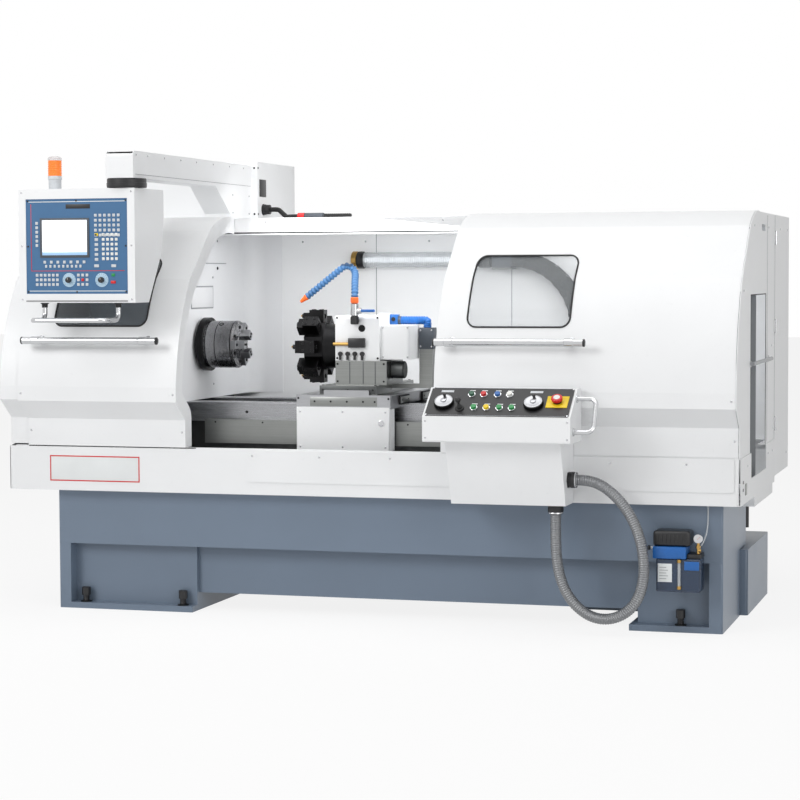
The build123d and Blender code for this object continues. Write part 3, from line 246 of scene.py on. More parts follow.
yellowPlastic = plastic("yellowPlastic", rgb(238, 204, 20), 0.4)
redPlastic = plastic("redPlastic", rgb(204, 22, 26), 0.3)
greenPlastic = plastic("greenPlastic", rgb(24, 140, 70), 0.3)
darkGreen = plastic("darkGreen", rgb(14, 84, 58), 0.3)
whitePlastic = plastic("whitePlastic", rgb(232, 232, 228), 0.4)
labelWhite = plastic("labelWhite", rgb(228, 231, 231), 0.55)
redBorder = paint("redBorder", rgb(206, 44, 44), 0.45)
orangeLens = glow("orangeLens", rgb(236, 124, 40), 0.35)
screenWhite = glow("screenWhite", rgb(238, 243, 248), 0.55)
screenBlue = glow("screenBlue", rgb(150, 186, 220), 0.4)
doorGlass = glass("doorGlass", rgb(170, 176, 180), 0.2)
clearPlastic = glass("clearPlastic", rgb(222, 226, 228), 0.45)
oilGlass = glass("oilGlass", rgb(48, 66, 92), 0.86)
print("finishes written")


def panelBlue():
    s = Shader("panelBlue")
    cloud = s.noise(30.0, 3.0)
    base = s.mix(cloud, shade(tones["panel"], 0.93), shade(tones["panel"], 1.05))
    return s.finish(colour=base, rough=(cloud * 0.1) + 0.42, normal=s.bump(s.noise(500.0), 0.1, 0.0003))


def hoseBraid():
    s = Shader("hoseBraid")
    weave = s.noise(240.0, 3.0, 0.6)
    dust = s.noise(14.0, 4.0)
    tone = s.mix(weave, rgb(72, 73, 75), rgb(166, 168, 171))
    tone = s.mix(s.ramp(dust, (0.5, 0.0), (0.8, 0.35)), tone, rgb(140, 141, 140))
    return s.finish(colour=tone, metal=0.55, rough=(weave * 0.2) + 0.32, normal=s.bump(weave, 0.6, 0.001))


panelPrint = panelBlue()
braid = hoseBraid()


# Mesh writing
class Build:  # one piece made of several shapes and finishes
    def __init__(self, name):
        self.name, self.mesh, self.finishes = name, bmesh.new(), []

    def index(self, finish):
        if finish not in self.finishes:
            self.finishes.append(finish)
        return self.finishes.index(finish)

    def take(self, shape, finish, smooth=False):
        spot = self.index(finish)
        for face in shape.faces:
            face.material_index = spot
            face.smooth = smooth
        held = bpy.data.meshes.new("held")
        shape.to_mesh(held)
        shape.free()
        self.mesh.from_mesh(held)
        bpy.data.meshes.remove(held)

    def box(self, low, high, finish, edge=0.0, turn=None, steps=2):
        low, high = Vector(low), Vector(high)
        shape = bmesh.new()
        bmesh.ops.create_cube(shape, size=1.0)
        size = Vector([abs(b - a) for a, b in zip(low, high)])
        bmesh.ops.scale(shape, vec=size, verts=shape.verts)
        if edge > 0:
            bmesh.ops.bevel(shape, geom=shape.edges[:], offset=min(edge, 0.45 * min(size)), segments=steps,
                    profile=0.5, affect="EDGES")
        place = Matrix.Translation((low + high) / 2)
        bmesh.ops.transform(shape, matrix=place if turn is None else place @ turn.to_4x4(), verts=shape.verts)
        self.take(shape, finish)

    def turned(self, origin, direction, profile, finish, sides=32):
        # profile: (distance along the axis, radius) pairs
        direction = Vector(direction).normalized()
        frameTurn = direction.to_track_quat("Z", "Y").to_matrix()
        shape = bmesh.new()
        rings = []
        for height, radius in profile:
            if radius < 1e-6:
                rings.append([shape.verts.new(Vector(origin) + direction * height)])
                continue
            ring = []
            for k in range(sides):
                a = 2 * pi * k / sides
                spot = frameTurn @ Vector((radius * cos(a), radius * sin(a), height))
                ring.append(shape.verts.new(Vector(origin) + spot))
            rings.append(ring)
        for a, b in zip(rings, rings[1:]):
            for k in range(sides):
                n = (k + 1) % sides
                if len(a) == 1:
                    shape.faces.new((a[0], b[k], b[n]))
                elif len(b) == 1:
                    shape.faces.new((a[k], b[0], a[n]))
                else:
                    shape.faces.new((a[k], b[k], b[n], a[n]))
        for ring, back in ((rings[0], True), (rings[-1], False)):
            if len(ring) > 1:
                shape.faces.new(ring if back else ring[::-1])
        bmesh.ops.recalc_face_normals(shape, faces=shape.faces[:])
        self.take(shape, finish, True)

    def rod(self, start, end, radius, finish, edge=0.0, sides=24):
        start, end = Vector(start), Vector(end)
        long = (end - start).length
        e = min(edge, 0.45 * long, 0.6 * radius)
        if e > 0:
            profile = [(0, radius - e), (e, radius), (long - e, radius), (long, radius - e)]
        else:
            profile = [(0, radius), (long, radius)]
        self.turned(start, end - start, profile, finish, sides)

    def tube(self, path, radius, finish, closed=False, sides=10):
        # radius: a number or a function of the distance along the path
        path = [Vector(p) for p in path]
        count = len(path)
        shape = bmesh.new()
        rings, gone, side = [], 0.0, None
        for k, p in enumerate(path):
            before = path[k - 1] if closed or k else p
            after = path[(k + 1) % count] if closed or k < count - 1 else p
            ahead = (after - before).normalized()
            if side is None:
                side = ahead.orthogonal().normalized()
            side = (side - ahead * side.dot(ahead)).normalized()
            up = ahead.cross(side)
            r = radius(gone) if callable(radius) else radius
            turns = [2 * pi * j / sides for j in range(sides)]
            rings.append([shape.verts.new(p + (side * cos(a) + up * sin(a)) * r) for a in turns])
            if k < count - 1:
                gone += (path[k + 1] - p).length
        for a, b in zip(rings, rings[1:] + (rings[:1] if closed else [])):
            for j in range(sides):
                n = (j + 1) % sides
                shape.faces.new((a[j], a[n], b[n], b[j]))
        if not closed:
            shape.faces.new(rings[0][::-1])
            shape.faces.new(rings[-1])
        bmesh.ops.recalc_face_normals(shape, faces=shape.faces[:])
        self.take(shape, finish, True)

    def screw(self, spot, direction, radius, finish):
        direction = Vector(direction).normalized()
        tall = radius * 0.55
        e = radius * 0.18
        well = radius * 0.52
        self.turned(Vector(spot) - direction * 0.0006, direction,
                [(0, radius), (tall - e, radius), (tall, radius - e), (tall, well),
                (tall * 0.45, well * 0.9), (tall * 0.45, 0)], finish, 18)

    def screws(self, xs, depths, zs, direction, radius, finish):  # one at each crossing
        for x, depth, z in product(xs, depths, zs):
            self.screw(at(x, depth, z), direction, radius, finish)

    def done(self, body, finishSlot=None, *stands):
        data = bpy.data.meshes.new(self.name)
        self.mesh.to_mesh(data)
        self.mesh.free()
        for finish in self.finishes:
            data.materials.append(finish)
        piece = bpy.data.objects.new(self.name, data)
        bpy.context.scene.collection.objects.link(piece)
        data.set_sharp_from_angle(angle=radians(38))
        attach(piece, body)
        if stands:
            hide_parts(*stands)
        return piece


def smoothLine(points, step):
    # points read from a smooth curve through the control points, about one step apart
    data = bpy.data.curves.new("line", "CURVE")
    data.dimensions, data.resolution_u = "3D", 24
    spline = data.splines.new("NURBS")
    spline.points.add(len(points) - 1)
    for spot, p in zip(spline.points, points):
        spot.co = (*p, 1)
    spline.order_u = 3
    spline.use_endpoint_u = True
    holder = bpy.data.objects.new("line", data)
    bpy.context.scene.collection.objects.link(holder)
    bpy.context.view_layer.update()
    mesh = bpy.data.meshes.new_from_object(holder)
    dense = [v.co.copy() for v in mesh.vertices]
    bpy.data.objects.remove(holder)
    bpy.data.meshes.remove(mesh)
    lengths = [0.0]
    for a, b in zip(dense, dense[1:]):
        lengths.append(lengths[-1] + (b - a).length)
    count = max(2, int(round(lengths[-1] / step)))
    out, k = [], 0
    for n in range(count + 1):
        want = lengths[-1] * n / count
        while k < len(dense) - 2 and lengths[k + 1] < want:
            k += 1
        span = max(lengths[k + 1] - lengths[k], 1e-9)
        out.append(dense[k].lerp(dense[k + 1], (want - lengths[k]) / span))
    return out, lengths[-1]


# Hose: corrugated sheath on the route's own smooth line
hose = {"diameter": 0.044, "groove": 0.0022, "pitch": 0.009, "depth": -100,
        "route": [(927, 608), (975, 608), (1030, 588), (1090, 540), (1138, 476), (1172, 400), (1190, 318),
        (1192, 238), (1174, 160), (1132, 100), (1066, 66), (994, 68), (930, 106), (883, 166), (856, 238),
        (845, 316), (843, 398), (843, 475)],}


def addHose(h):
    points = [at(x, h["depth"], z) for x, z in h["route"]]
    line, length = smoothLine(points, h["pitch"] / 4)
    made = Build("hoseSheath")
    crest = h["diameter"] / 2
    made.tube(line, lambda s: crest - h["groove"] * (0.5 - 0.5 * cos(2 * pi * s / h["pitch"])), braid,
              sides=28)
    piece = made.done("console", "conduit", "hose")


addHose(hose)
print("hose laid")

# CAD nodes that keep their solids get their finish and softened edges
keep = {"base_stand": (castPaint, 0.003), "levelling_bolts": (blackPaint, 0),
        "chip_tray": (trayPaint, 0.0015), "tray_front_rail": (trayPaint, 0.0012),
        "coolant_tank": (castPaint, 0.002), "coolant_pump": (blackPaint, 0), "screw_cover": (coverSteel, 0),
        "headstock": (castPaint, 0.003), "headstock_wall": (innerPaint, 0),
        "spindle_motor": (blackPaint, 0), "drive_belt": (rubber, 0), "enclosure": (whitePaint, 0),
        "access_panel": (greyPaint, 0), "electrical_cabinet": (whitePaint, 0.002),
        "cabinet_door": (whitePaint, 0), "pendant_arm": (whitePaint, 0.002),
        "pendant_swivel": (blackPlastic, 0), "left_door": (whitePaint, 0), "right_door": (whitePaint, 0),
        "left_window": (doorGlass, 0), "right_window": (doorGlass, 0), "left_handle": (chrome, 0),
        "right_handle": (chrome, 0), "spindle": (turretBlack, 0), "chuck_body": (chuckSteel, 0),
        "motor_pulley": (darkSteel, 0), "chuck_jaw_1": (groundSteel, 0.0012),
        "chuck_jaw_2": (groundSteel, 0.0012), "chuck_jaw_3": (groundSteel, 0.0012),
        "apron_cover": (whitePaint, 0.0015), "way_wipers": (rubber, 0.0015),
        "saddle": (groundSteel, 0.0015), "cross_slide": (coverSteel, 0.0015),
        "turret_housing": (whitePaint, 0), "coolant_line": (bluePlastic, 0),
        "turret_conduit": (bluePlastic, 0), "turret_disc": (turretBlack, 0.0015),
        "tool_holders": (turretBlack, 0.0015), "pendant_box": (whitePaint, 0.0015),
        "pendant_panel": (panelPrint, 0), "pendant_handle": (chrome, 0), "feed_dial": (blackPlastic, 0),
        "speed_dial": (blackPlastic, 0), "console_body": (whitePaint, 0.0015),
        "console_panel": (blackPlastic, 0), "console_handle": (chrome, 0), "hose_glands": (blackPlastic, 0),
        "handwheel_left": (darkSteel, 0), "handwheel_right": (darkSteel, 0),
        "emergency_stop": (redPlastic, 0), "joystick": (blackPlastic, 0), "tailstock": (castPaint, 0.003),
        "tailstock_quill": (groundSteel, 0), "roof_cable": (rubber, 0), "lathe_bed": (wayIron, 0.0015),}


def dress(name, finish, edge):
    part = nodes[name]
    part.data.materials.clear()
    part.data.materials.append(finish)
    if edge:
        weld = part.modifiers.new("weld", "WELD")
        weld.merge_threshold = 0.00002
        soft = part.modifiers.new("soft", "BEVEL")
        soft.width, soft.segments, soft.limit_method = edge, 2, "ANGLE"
        soft.angle_limit = radians(40)
        soft.use_clamp_overlap = True
        soft.harden_normals = True


for name, (finish, edge) in keep.items():
    dress(name, finish, edge)
print("CAD parts dressed")


# Hood curve, for what is fixed to the hoods
def circleThrough(a, b, c):
    ax, ay, bx, by, cx, cy = *a, *b, *c
    d = 2 * (ax * (by - cy) + bx * (cy - ay) + cx * (ay - by))
    aa, bb, cc = ax * ax + ay * ay, bx * bx + by * by, cx * cx + cy * cy
    ux = (aa * (by - cy) + bb * (cy - ay) + cc * (ay - by)) / d
    uy = (aa * (cx - bx) + bb * (ax - cx) + cc * (bx - ax)) / d
    return ux, uy, hypot(ax - ux, ay - uy)


hoodCurve = {"start": (-100, 950), "middle": (-45, 1190), "top": (70, 1395), "slope": (300, 1598)}
frontArc = circleThrough(hoodCurve["start"], hoodCurve["middle"], hoodCurve["top"])


def hoodAt(z):  # depth and outward direction of the hood's outer face at a height
    if z <= 811:
        return 0.0, Vector(toFront)
    if z <= 890:
        return -100 * (z - 811) / 79, Vector((0, -79, -100)).normalized()
    if z <= 950:
        return -100.0, Vector((0, -1, 0))
    if z <= 1395:
        depth = frontArc[0] - (frontArc[2] ** 2 - (z - frontArc[1]) ** 2) ** 0.5
        return depth, Vector((0, depth - frontArc[0], z - frontArc[1])).normalized()
    (y0, z0), (y1, z1) = hoodCurve["top"], hoodCurve["slope"]
    return y0 + (z - z0) * (y1 - y0) / (z1 - z0), Vector((0, z0 - z1, y1 - y0)).normalized()


def roundedOutline(x0, x1, z0, z1, corner, step=14.0):
    out = []
    for cx, cz, start in ((x1 - corner, z1 - corner, 0), (x0 + corner, z1 - corner, 90),
            (x0 + corner, z0 + corner, 180), (x1 - corner, z0 + corner, 270)):
        for k in range(9):
            a = radians(start + 90 * k / 8)
            out.append((cx + corner * cos(a), cz + corner * sin(a)))
    full = []
    for (ax, az), (bx, bz) in zip(out, out[1:] + out[:1]):
        parts = max(1, int(ceil(hypot(bx - ax, bz - az) / step)))
        full += [(ax + (bx - ax) * k / parts, az + (bz - az) * k / parts) for k in range(parts)]
    return full


doors = {
    "left": {"body": "left_hood", "x": (-1456, -745), "window": (-1314, -899)},
    "right": {"body": "right_hood", "x": (350, 1540), "window": (470, 885)},
}
windowFrame = {"low": 1200, "high": 1482, "corner": 38, "seal": 0.0036, "proud": 0.0012}


def addDoorTrim(hand, d):
    made = Build(hand + "DoorTrim")
    outline = roundedOutline(*d["window"], windowFrame["low"], windowFrame["high"], windowFrame["corner"])
    ring = []
    for x, z in outline:
        depth, out = hoodAt(z)
        ring.append(at(x, depth, z) + out * windowFrame["proud"])
    made.tube(ring, windowFrame["seal"], rubber, closed=True, sides=8)
    for x in (d["x"][0] + 14, d["x"][1] - 14):
        for z in (760, 920):
            depth, out = hoodAt(z)
            made.screw(at(x, depth, z), out, 0.0045, chrome)
    made.done(d["body"], "rubber")


for hand, d in doors.items():
    addDoorTrim(hand, d)


barEnds = {"left": (-1419, -818), "right": (358, 959)}


def addBarTrim(hand):
    made = Build(hand + "BarTrim")
    x0, x1 = barEnds[hand]
    for x, side in ((x0, -1), (x1, 1)):
        made.turned(at(x - side * 3, -125, 1142), (side, 0, 0),
                    [(0, 0.0153), (0.006, 0.0153), (0.0075, 0.013), (0.0078, 0)], blackPlastic, 24)
    for x in (x0 + 60, x1 - 60):
        depth = hoodAt(1142)[0]
        made.turned(at(x, depth - 0.2, 1142), toFront, [(0, 0.019), (0.004, 0.019), (0.006, 0.017),
                (0.006, 0.010)], chrome, 28)
        made.turned(at(x, -125, 1142) - Vector((0.018, 0, 0)), toRight,
                    [(0, 0.0152), (0.002, 0.0172), (0.034, 0.0172), (0.036, 0.0152)], chrome, 24)
    made.done(doors[hand]["body"], "chrome")


for hand in doors:
    addBarTrim(hand)
print("door trim fitted")


# Pendant panel: screen, keys and dials
pendant = {"left": -1329.0, "top": 1721.5, "face": -259.0, "key": 11.0, "proud": 2.9}


def panelSpot(x, down, out=0.0):
    return at(pendant["left"] + x, pendant["face"] - out, pendant["top"] - down)


def keyBlock(made, x, down, finish, wide=1.0):
    half = pendant["key"] / 2 + 0.3
    low = panelSpot(x - half * wide, down + half, -0.2)
    high = panelSpot(x + half * wide, down - half, pendant["proud"])
    made.box((low.x, high.y, low.z), (high.x, low.y, high.z), finish, 0.0011)


def keyGrid(made, left, top, columns, rows, stepX, stepZ, finish, wide=1.0, odd=None):
    for row in range(rows):
        for column in range(columns):
            keyBlock(made, left + column * stepX, top + row * stepZ, (odd or {}).get((column, row), finish),
                     wide)


def addPendantKeys():
    made = Build("pendantKeys")
    keyGrid(made, 48, 98, 1, 6, 17, 18, keyGrey)
    keyGrid(made, 82, 256, 7, 1, 29, 17, keyGrey)
    keyGrid(made, 88, 273, 9, 1, 19, 17, keyGrey, 0.8)
    keyGrid(made, 308, 68, 6, 5, 20, 20, keyGrey)
    keyGrid(made, 311, 146, 1, 6, 20, 20, keyGrey, 1.3, {(0, 0): yellowPlastic})
    keyGrid(made, 341, 146, 4, 6, 19, 19.5, whitePlastic)
    keyGrid(made, 311, 272, 1, 1, 20, 20, keyGrey, 1.8)
    keyGrid(made, 386, 272, 1, 1, 20, 20, keyGrey, 1.8)
    keyGrid(made, 47, 309, 6, 3, 18, 19, keyGrey)
    keyGrid(made, 230, 309, 3, 3, 19, 19, keyGrey, 1.0, {(1, 1): redPlastic})
    keyGrid(made, 383, 309, 1, 1, 20, 20, greenPlastic, 1.3)
    keyGrid(made, 383, 338, 1, 1, 20, 20, redPlastic, 1.8)
    made.done("pendant", "blue_panel")


def flatPatch(made, x0, x1, d0, d1, out, finish, edge=0.0004, thick=0.5):
    low, high = panelSpot(x0, d1, out), panelSpot(x1, d0, out - thick)
    made.box((low.x, low.y, low.z), (high.x, high.y, high.z), finish, edge)


def addPendantScreen():
    made = Build("pendantScreen")
    flatPatch(made, 62, 280, 78, 238, 2.4, keyDark)
    flatPatch(made, 72, 270, 86, 228, 2.9, screenWhite)
    flatPatch(made, 72, 270, 216, 228, 3.3, screenBlue)
    flatPatch(made, 177, 284, 22, 40, 0.6, blackPlastic)
    flatPatch(made, 12, 436, 10, 13, 0.5, labelWhite)
    flatPatch(made, 12, 436, 372, 375, 0.5, labelWhite)
    flatPatch(made, 21, 432, 290.6, 293, 0.5, redPlastic)
    flatPatch(made, 21, 23.4, 20, 290, 0.5, redPlastic)
    for x, down in ((8, 8), (223, 8), (439, 8), (8, 192), (439, 192), (8, 377), (223, 377), (439, 377)):
        made.screw(panelSpot(x, down), toFront, 0.004, blackPlastic)
    for spot in ((189, 329), (333, 329)):
        made.turned(panelSpot(*spot, -0.2), toFront, [(0, 0.0285), (0.0021, 0.0285), (0.0023, 0.0279)],
                    dialGrey, 48)
        for k in range(13):
            a = radians(-135 + 270 * k / 12)
            middle = panelSpot(spot[0] + 24 * sin(a), spot[1] - 24 * cos(a), 2.2)
            half = Vector((0.0005, 0.0003, 0.002))
            made.box(middle - half, middle + half, keyDark, 0.0, Matrix.Rotation(a, 3, "Y"))
    made.done("pendant", "blue_panel")


def addPendantTrim():
    made = Build("pendantTrim")
    x0, x1, z0, z1 = -1361, -850, 1300, 1762
    made.screws((x0 + 14, x1 - 14), (-262,), (z0 + 14, z1 - 14, (z0 + z1) / 2), toFront, 0.0042, chrome)
    for x in (-1278, -951):
        made.turned(at(x, -200, 1300), toFloor, [(0, 0.017), (0.004, 0.017), (0.007, 0.0125), (0.02, 0.0122)],
                    blackPlastic, 24)
    made.box(at(-1330, -262.4, 1306), at(-882, -264.5, 1309), blackPlastic, 0.0005)
    made.done("pendant", "chrome")


def addSignalLamp():
    made = Build("signalLamp")
    foot = at(-1272, -100, 1762)
    made.turned(foot, toTop, [(0, 0.029), (0.004, 0.029), (0.006, 0.0262), (0.044, 0.0262), (0.046, 0.029),
            (0.058, 0.029), (0.060, 0.0275)], keyGrey, 40)
    ribs = [(0.0601, 0.0275)]
    for k in range(8):
        ribs += [(0.062 + k * 0.0075, 0.0288), (0.0658 + k * 0.0075, 0.0272)]
    made.turned(foot, toTop, ribs + [(0.1235, 0.0288), (0.1236, 0.02)], orangeLens, 40)
    made.turned(foot, toTop, [(0.1236, 0.029), (0.133, 0.029), (0.139, 0.024), (0.1415, 0.012), (0.142, 0)],
                clearPlastic, 40)
    made.done("pendant", "orange_lens", "signal_lamp")


def addDialTrim(name, body, x):
    made = Build(name)
    centre = panelSpot(x, 329, 1.6)
    for k in range(24):
        a = 2 * pi * k / 24
        spot = centre + Vector((0.0111 * cos(a), 0, 0.0111 * sin(a)))
        made.rod(spot - Vector((0, 0.0125, 0)), spot - Vector((0, 0.002, 0)), 0.0006, blackPlastic, 0.0002, 6)
    low, high = centre + Vector((-0.0007, -0.0186, 0.001)), centre + Vector((0.0007, -0.0158, 0.0105))
    made.box(low, high, whitePlastic, 0.0002)
    made.done(body, "black_plastic")


addPendantKeys()
addPendantScreen()
addPendantTrim()
addSignalLamp()
addDialTrim("feedDialTrim", "feed_knob", 189)
addDialTrim("speedDialTrim", "speed_knob", 333)
print("pendant fitted")


# Console desk
desk = {"x": 655.5, "front": (-320, 862), "back": (-183, 967), "thick": 4.0}
deskTilt = atan2(desk["back"][1] - desk["front"][1], desk["back"][0] - desk["front"][0])
deskUp = Vector((0, -sin(deskTilt), cos(deskTilt)))
deskAlong = Vector((0, cos(deskTilt), sin(deskTilt)))


def onDesk(x, y, out=0.0):
    middle = at(desk["x"], (desk["front"][0] + desk["back"][0]) / 2, (desk["front"][1] + desk["back"][1]) / 2)
    return middle + Vector((x / 1000, 0,
            0)) + deskAlong * (y / 1000) + deskUp * ((desk["thick"] + out) / 1000)


deskTurn = Matrix(((1, 0, 0), deskAlong, deskUp)).transposed()


def deskBox(made, x, y, wide, tall, low, high, finish, edge=0.0004):
    size = Vector((wide, tall, high - low)) / 1000
    middle = onDesk(x, y, (low + high) / 2)
    made.box(middle - size / 2, middle + size / 2, finish, edge, deskTurn)


buttons = {"upper": (41.0, ((-118.0, darkGreen), (-70.0, redPlastic), (-15.0, bluePlastic),
        (33.0, whitePlastic))), "lower": (-37.0, ((-95.0, greenPlastic), (-45.0, yellowPlastic),
        (6.0, greenPlastic), (55.0, greenPlastic))), "radius": 11.0, "proud": 11.0,}


def addConsoleButtons():
    made = Build("consoleButtons")
    for row in ("upper", "lower"):
        y, entries = buttons[row]
        for x, finish in entries:
            r = buttons["radius"] / 1000
            made.turned(onDesk(x, y, -0.2), deskUp, [(0, 0.0152), (0.0026, 0.0152), (0.0036, 0.0140),
                    (0.0036, 0.0116)], chrome, 32)
            made.turned(onDesk(x, y, 2.0), deskUp, [(0, r + 0.0002), (0.0085, r + 0.0002),
                    (0.0094, r - 0.0008), (0.0095, r - 0.003), (0.0091, 0)], finish, 32)
            deskBox(made, x, y + (24 if row == "upper" else 23), 22, 5, -0.2, 0.35, labelWhite)
    for x in (-278, 278):
        for y in (-78, 78):
            made.screw(onDesk(x, y, 0.2), deskUp, 0.0035, chrome)
    deskBox(made, 0, 81, 540, 1.2, -0.2, 0.3, keyGrey)
    deskBox(made, 0, -81, 540, 1.2, -0.2, 0.3, keyGrey)
    deskBox(made, -218, 60, 50, 12, -0.2, 0.35, keyGrey)
    deskBox(made, 137, 60, 50, 12, -0.2, 0.35, keyGrey)
    deskBox(made, 228, 1.5, 84.5, 66.5, -0.1, 2.8, yellowPlastic, 0.001)
    made.turned(onDesk(228, 1.5, 2.8), deskUp, [(0, 0.0174), (0.0052, 0.0174), (0.0053, 0.0095)],
                blackPlastic, 32)
    made.turned(onDesk(-150, -41, 2.4), deskUp, [(0, 0.0176), (0.0012, 0.0176), (0.0030, 0.0155),
            (0.0031, 0.0086)], rubber, 32)
    made.done("console", "black_plastic")


def addWheelTrim(name, body, x):
    made = Build(name)
    rim = onDesk(x, -13, 16.1)
    made.turned(rim, deskUp, [(0, 0.0352), (0.0006, 0.0352), (0.0008, 0.0345), (0.0008, 0.0285),
            (0.0006, 0.0275), (0.0006, 0.0115), (0.0040, 0.0110), (0.0046, 0.0100), (0.0046, 0)],
            groundSteel, 56)
    for k in range(50):
        a = 2 * pi * k / 50
        out = Vector((cos(a), 0, 0)) + deskAlong * sin(a)
        tall = 0.0052 if k % 5 == 0 else 0.0032
        low = rim + out * (0.0340 - tall) + deskUp * 0.0009
        made.rod(low, low + out * tall, 0.00035, keyDark, 0.0, 5)
        grip = onDesk(x, -13, 3.0) + out * 0.0381
        made.rod(grip, grip + deskUp * 0.0095, 0.0012, darkSteel, 0.0003, 6)
    knob = onDesk(x, 11, 16.5)
    made.turned(knob, deskUp, [(0, 0.0055), (0.003, 0.0052), (0.006, 0.0062), (0.011, 0.0066),
            (0.0138, 0.0052), (0.0144, 0)], blackPlastic, 24)
    made.done(body, "black_plastic")


def addStopTrim():
    made = Build("stopTrim")
    made.turned(onDesk(228, 1.5, 26.2), deskUp, [(0, 0.0125), (0.0006, 0.0125), (0.0008, 0.0115),
            (0.0008, 0.0095)], whitePlastic, 32)
    made.done("stop_button", "red_plastic")


def addStickTrim():
    made = Build("stickTrim")
    foot = onDesk(-150, -41, 7.0)
    folds = []
    for k in range(6):
        folds += [(0.002 + k * 0.003, 0.0098 - k * 0.0009), (0.0035 + k * 0.003, 0.0080 - k * 0.0008)]
    made.turned(foot, deskUp, [(0.001, 0.0070)] + folds + [(0.0215, 0.0042)], rubber, 28)
    made.turned(onDesk(-150, -41, 44), deskUp, [(-0.0112, 0), (-0.0104, 0.0045), (-0.0072, 0.0088),
            (0, 0.0113), (0.0072, 0.0088), (0.0104, 0.0045), (0.0113, 0)], blackPlastic, 28)
    made.done("stick", "black_plastic")


def addConsoleTrim():
    made = Build("consoleTrim")
    made.screws((364 + 12, 947 - 12), (-320,), (780, 845), toFront, 0.004, chrome)
    for z in (806, 930):
        depth = -268 if z == 806 else -198
        made.turned(at(947, depth, z), toRight, [(0, 0.016), (0.003, 0.016), (0.005, 0.014), (0.005, 0.0095)],
                    chrome, 28)
    for spot, direction in (((893, -100, 608), (1, 0, 0)), ((843, -100, 509), (0, 0, -1))):
        made.turned(at(*spot), direction, [(0, 0.034), (0.006, 0.034), (0.0065, 0.0305)], blackPlastic, 6)
        made.turned(at(*spot) + Vector(direction) * 0.010, direction,
                    [(0, 0.0302), (0.001, 0.0318), (0.016, 0.0318), (0.018, 0.0302)], blackPlastic, 12)
        made.turned(at(*spot) + Vector(direction) * 0.0285, direction,
                    [(0, 0.0302), (0.0008, 0.0308), (0.005, 0.0308), (0.0056, 0.0235)], chrome, 32)
    made.done("console", "chrome")


addConsoleButtons()
addWheelTrim("leftWheelTrim", "wheel_left", -218)
addWheelTrim("rightWheelTrim", "wheel_right", 137)
addStopTrim()
addStickTrim()
addConsoleTrim()
print("console fitted")


# Tray, base and the bare plate
tray = {"plate": (-1358, -951, 547, 655), "border": 5}


def addTrayTrim():
    made = Build("trayTrim")
    x0, x1, z0, z1 = tray["plate"]
    b = tray["border"]
    made.box(at(x0, -0.7, z0), at(x1, 0.2, z1), labelWhite, 0.0003)
    for box in ((x0, x1, z1 - b, z1), (x0, x1, z0, z0 + b), (x0, x0 + b, z0 + b, z1 - b),
            (x1 - b, x1, z0 + b, z1 - b)):
        made.box(at(box[0], -1.2, box[2]), at(box[1], -0.3, box[3]), redBorder, 0.0002)
    for x in (-470, -180, 120, 420, 720, 1020, 1320):
        made.screw(at(x + 20, -4.7, 668), toFront, 0.0045, chrome)
    made.screws((1550,), (200, 850, 1000), (650,), toRight, 0.0045, chrome)
    for z in (560, 590):
        made.box(at(1550, 60, z), at(1551.2, 78, z + 12), blackPlastic, 0.0004)
    made.box(at(1550, 130, 540), at(1552.5, 170, 585), coverSteel, 0.0006)
    made.box(at(-1456, 3, 692.2), at(-700, 12, 696.6), rubber, 0.0003)
    made.done("machine", "white_paint")


def addBaseTrim():
    made = Build("baseTrim")
    for x in (-1240, -798, 1304):
        made.turned(at(x, 90, 88), toTop, [(-0.001, 0.0125), (0.0004, 0.012), (-0.012, 0.011), (-0.012, 0)],
                    darkSteel, 6)
        made.turned(at(x, 90, 25), toTop, [(0, 0.024), (0.004, 0.024), (0.005, 0.022), (0.005, 0.0132)],
                    darkSteel, 28)
        for k in range(8):
            made.turned(at(x, 90, 31 + k * 2.6), toTop, [(0, 0.0131), (0.0009, 0.0136), (0.0018, 0.0131)],
                        blackPaint, 20)
    made.done("machine", "dark_paint")


def addWayTrim():
    made = Build("bedTrim")
    made.box(at(-1288, 309.4, 512), at(1398, 310.3, 788), bedIron, 0.0002)
    for k in range(9):
        x = -1180 + k * 300
        made.screw(at(x, 289.9, 830), toFront, 0.006, darkSteel)
    made.screws(range(-700, 1000, 212), (230,), (790,), toFront, 0.0038, darkSteel)
    made.box(at(-1289, 400.5, 790), at(1399, 629.5, 790.8), bedIron, 0.0002)
    made.done("machine", "cast_iron")


addTrayTrim()
addBaseTrim()
addWayTrim()
print("tray, base and bed fitted")


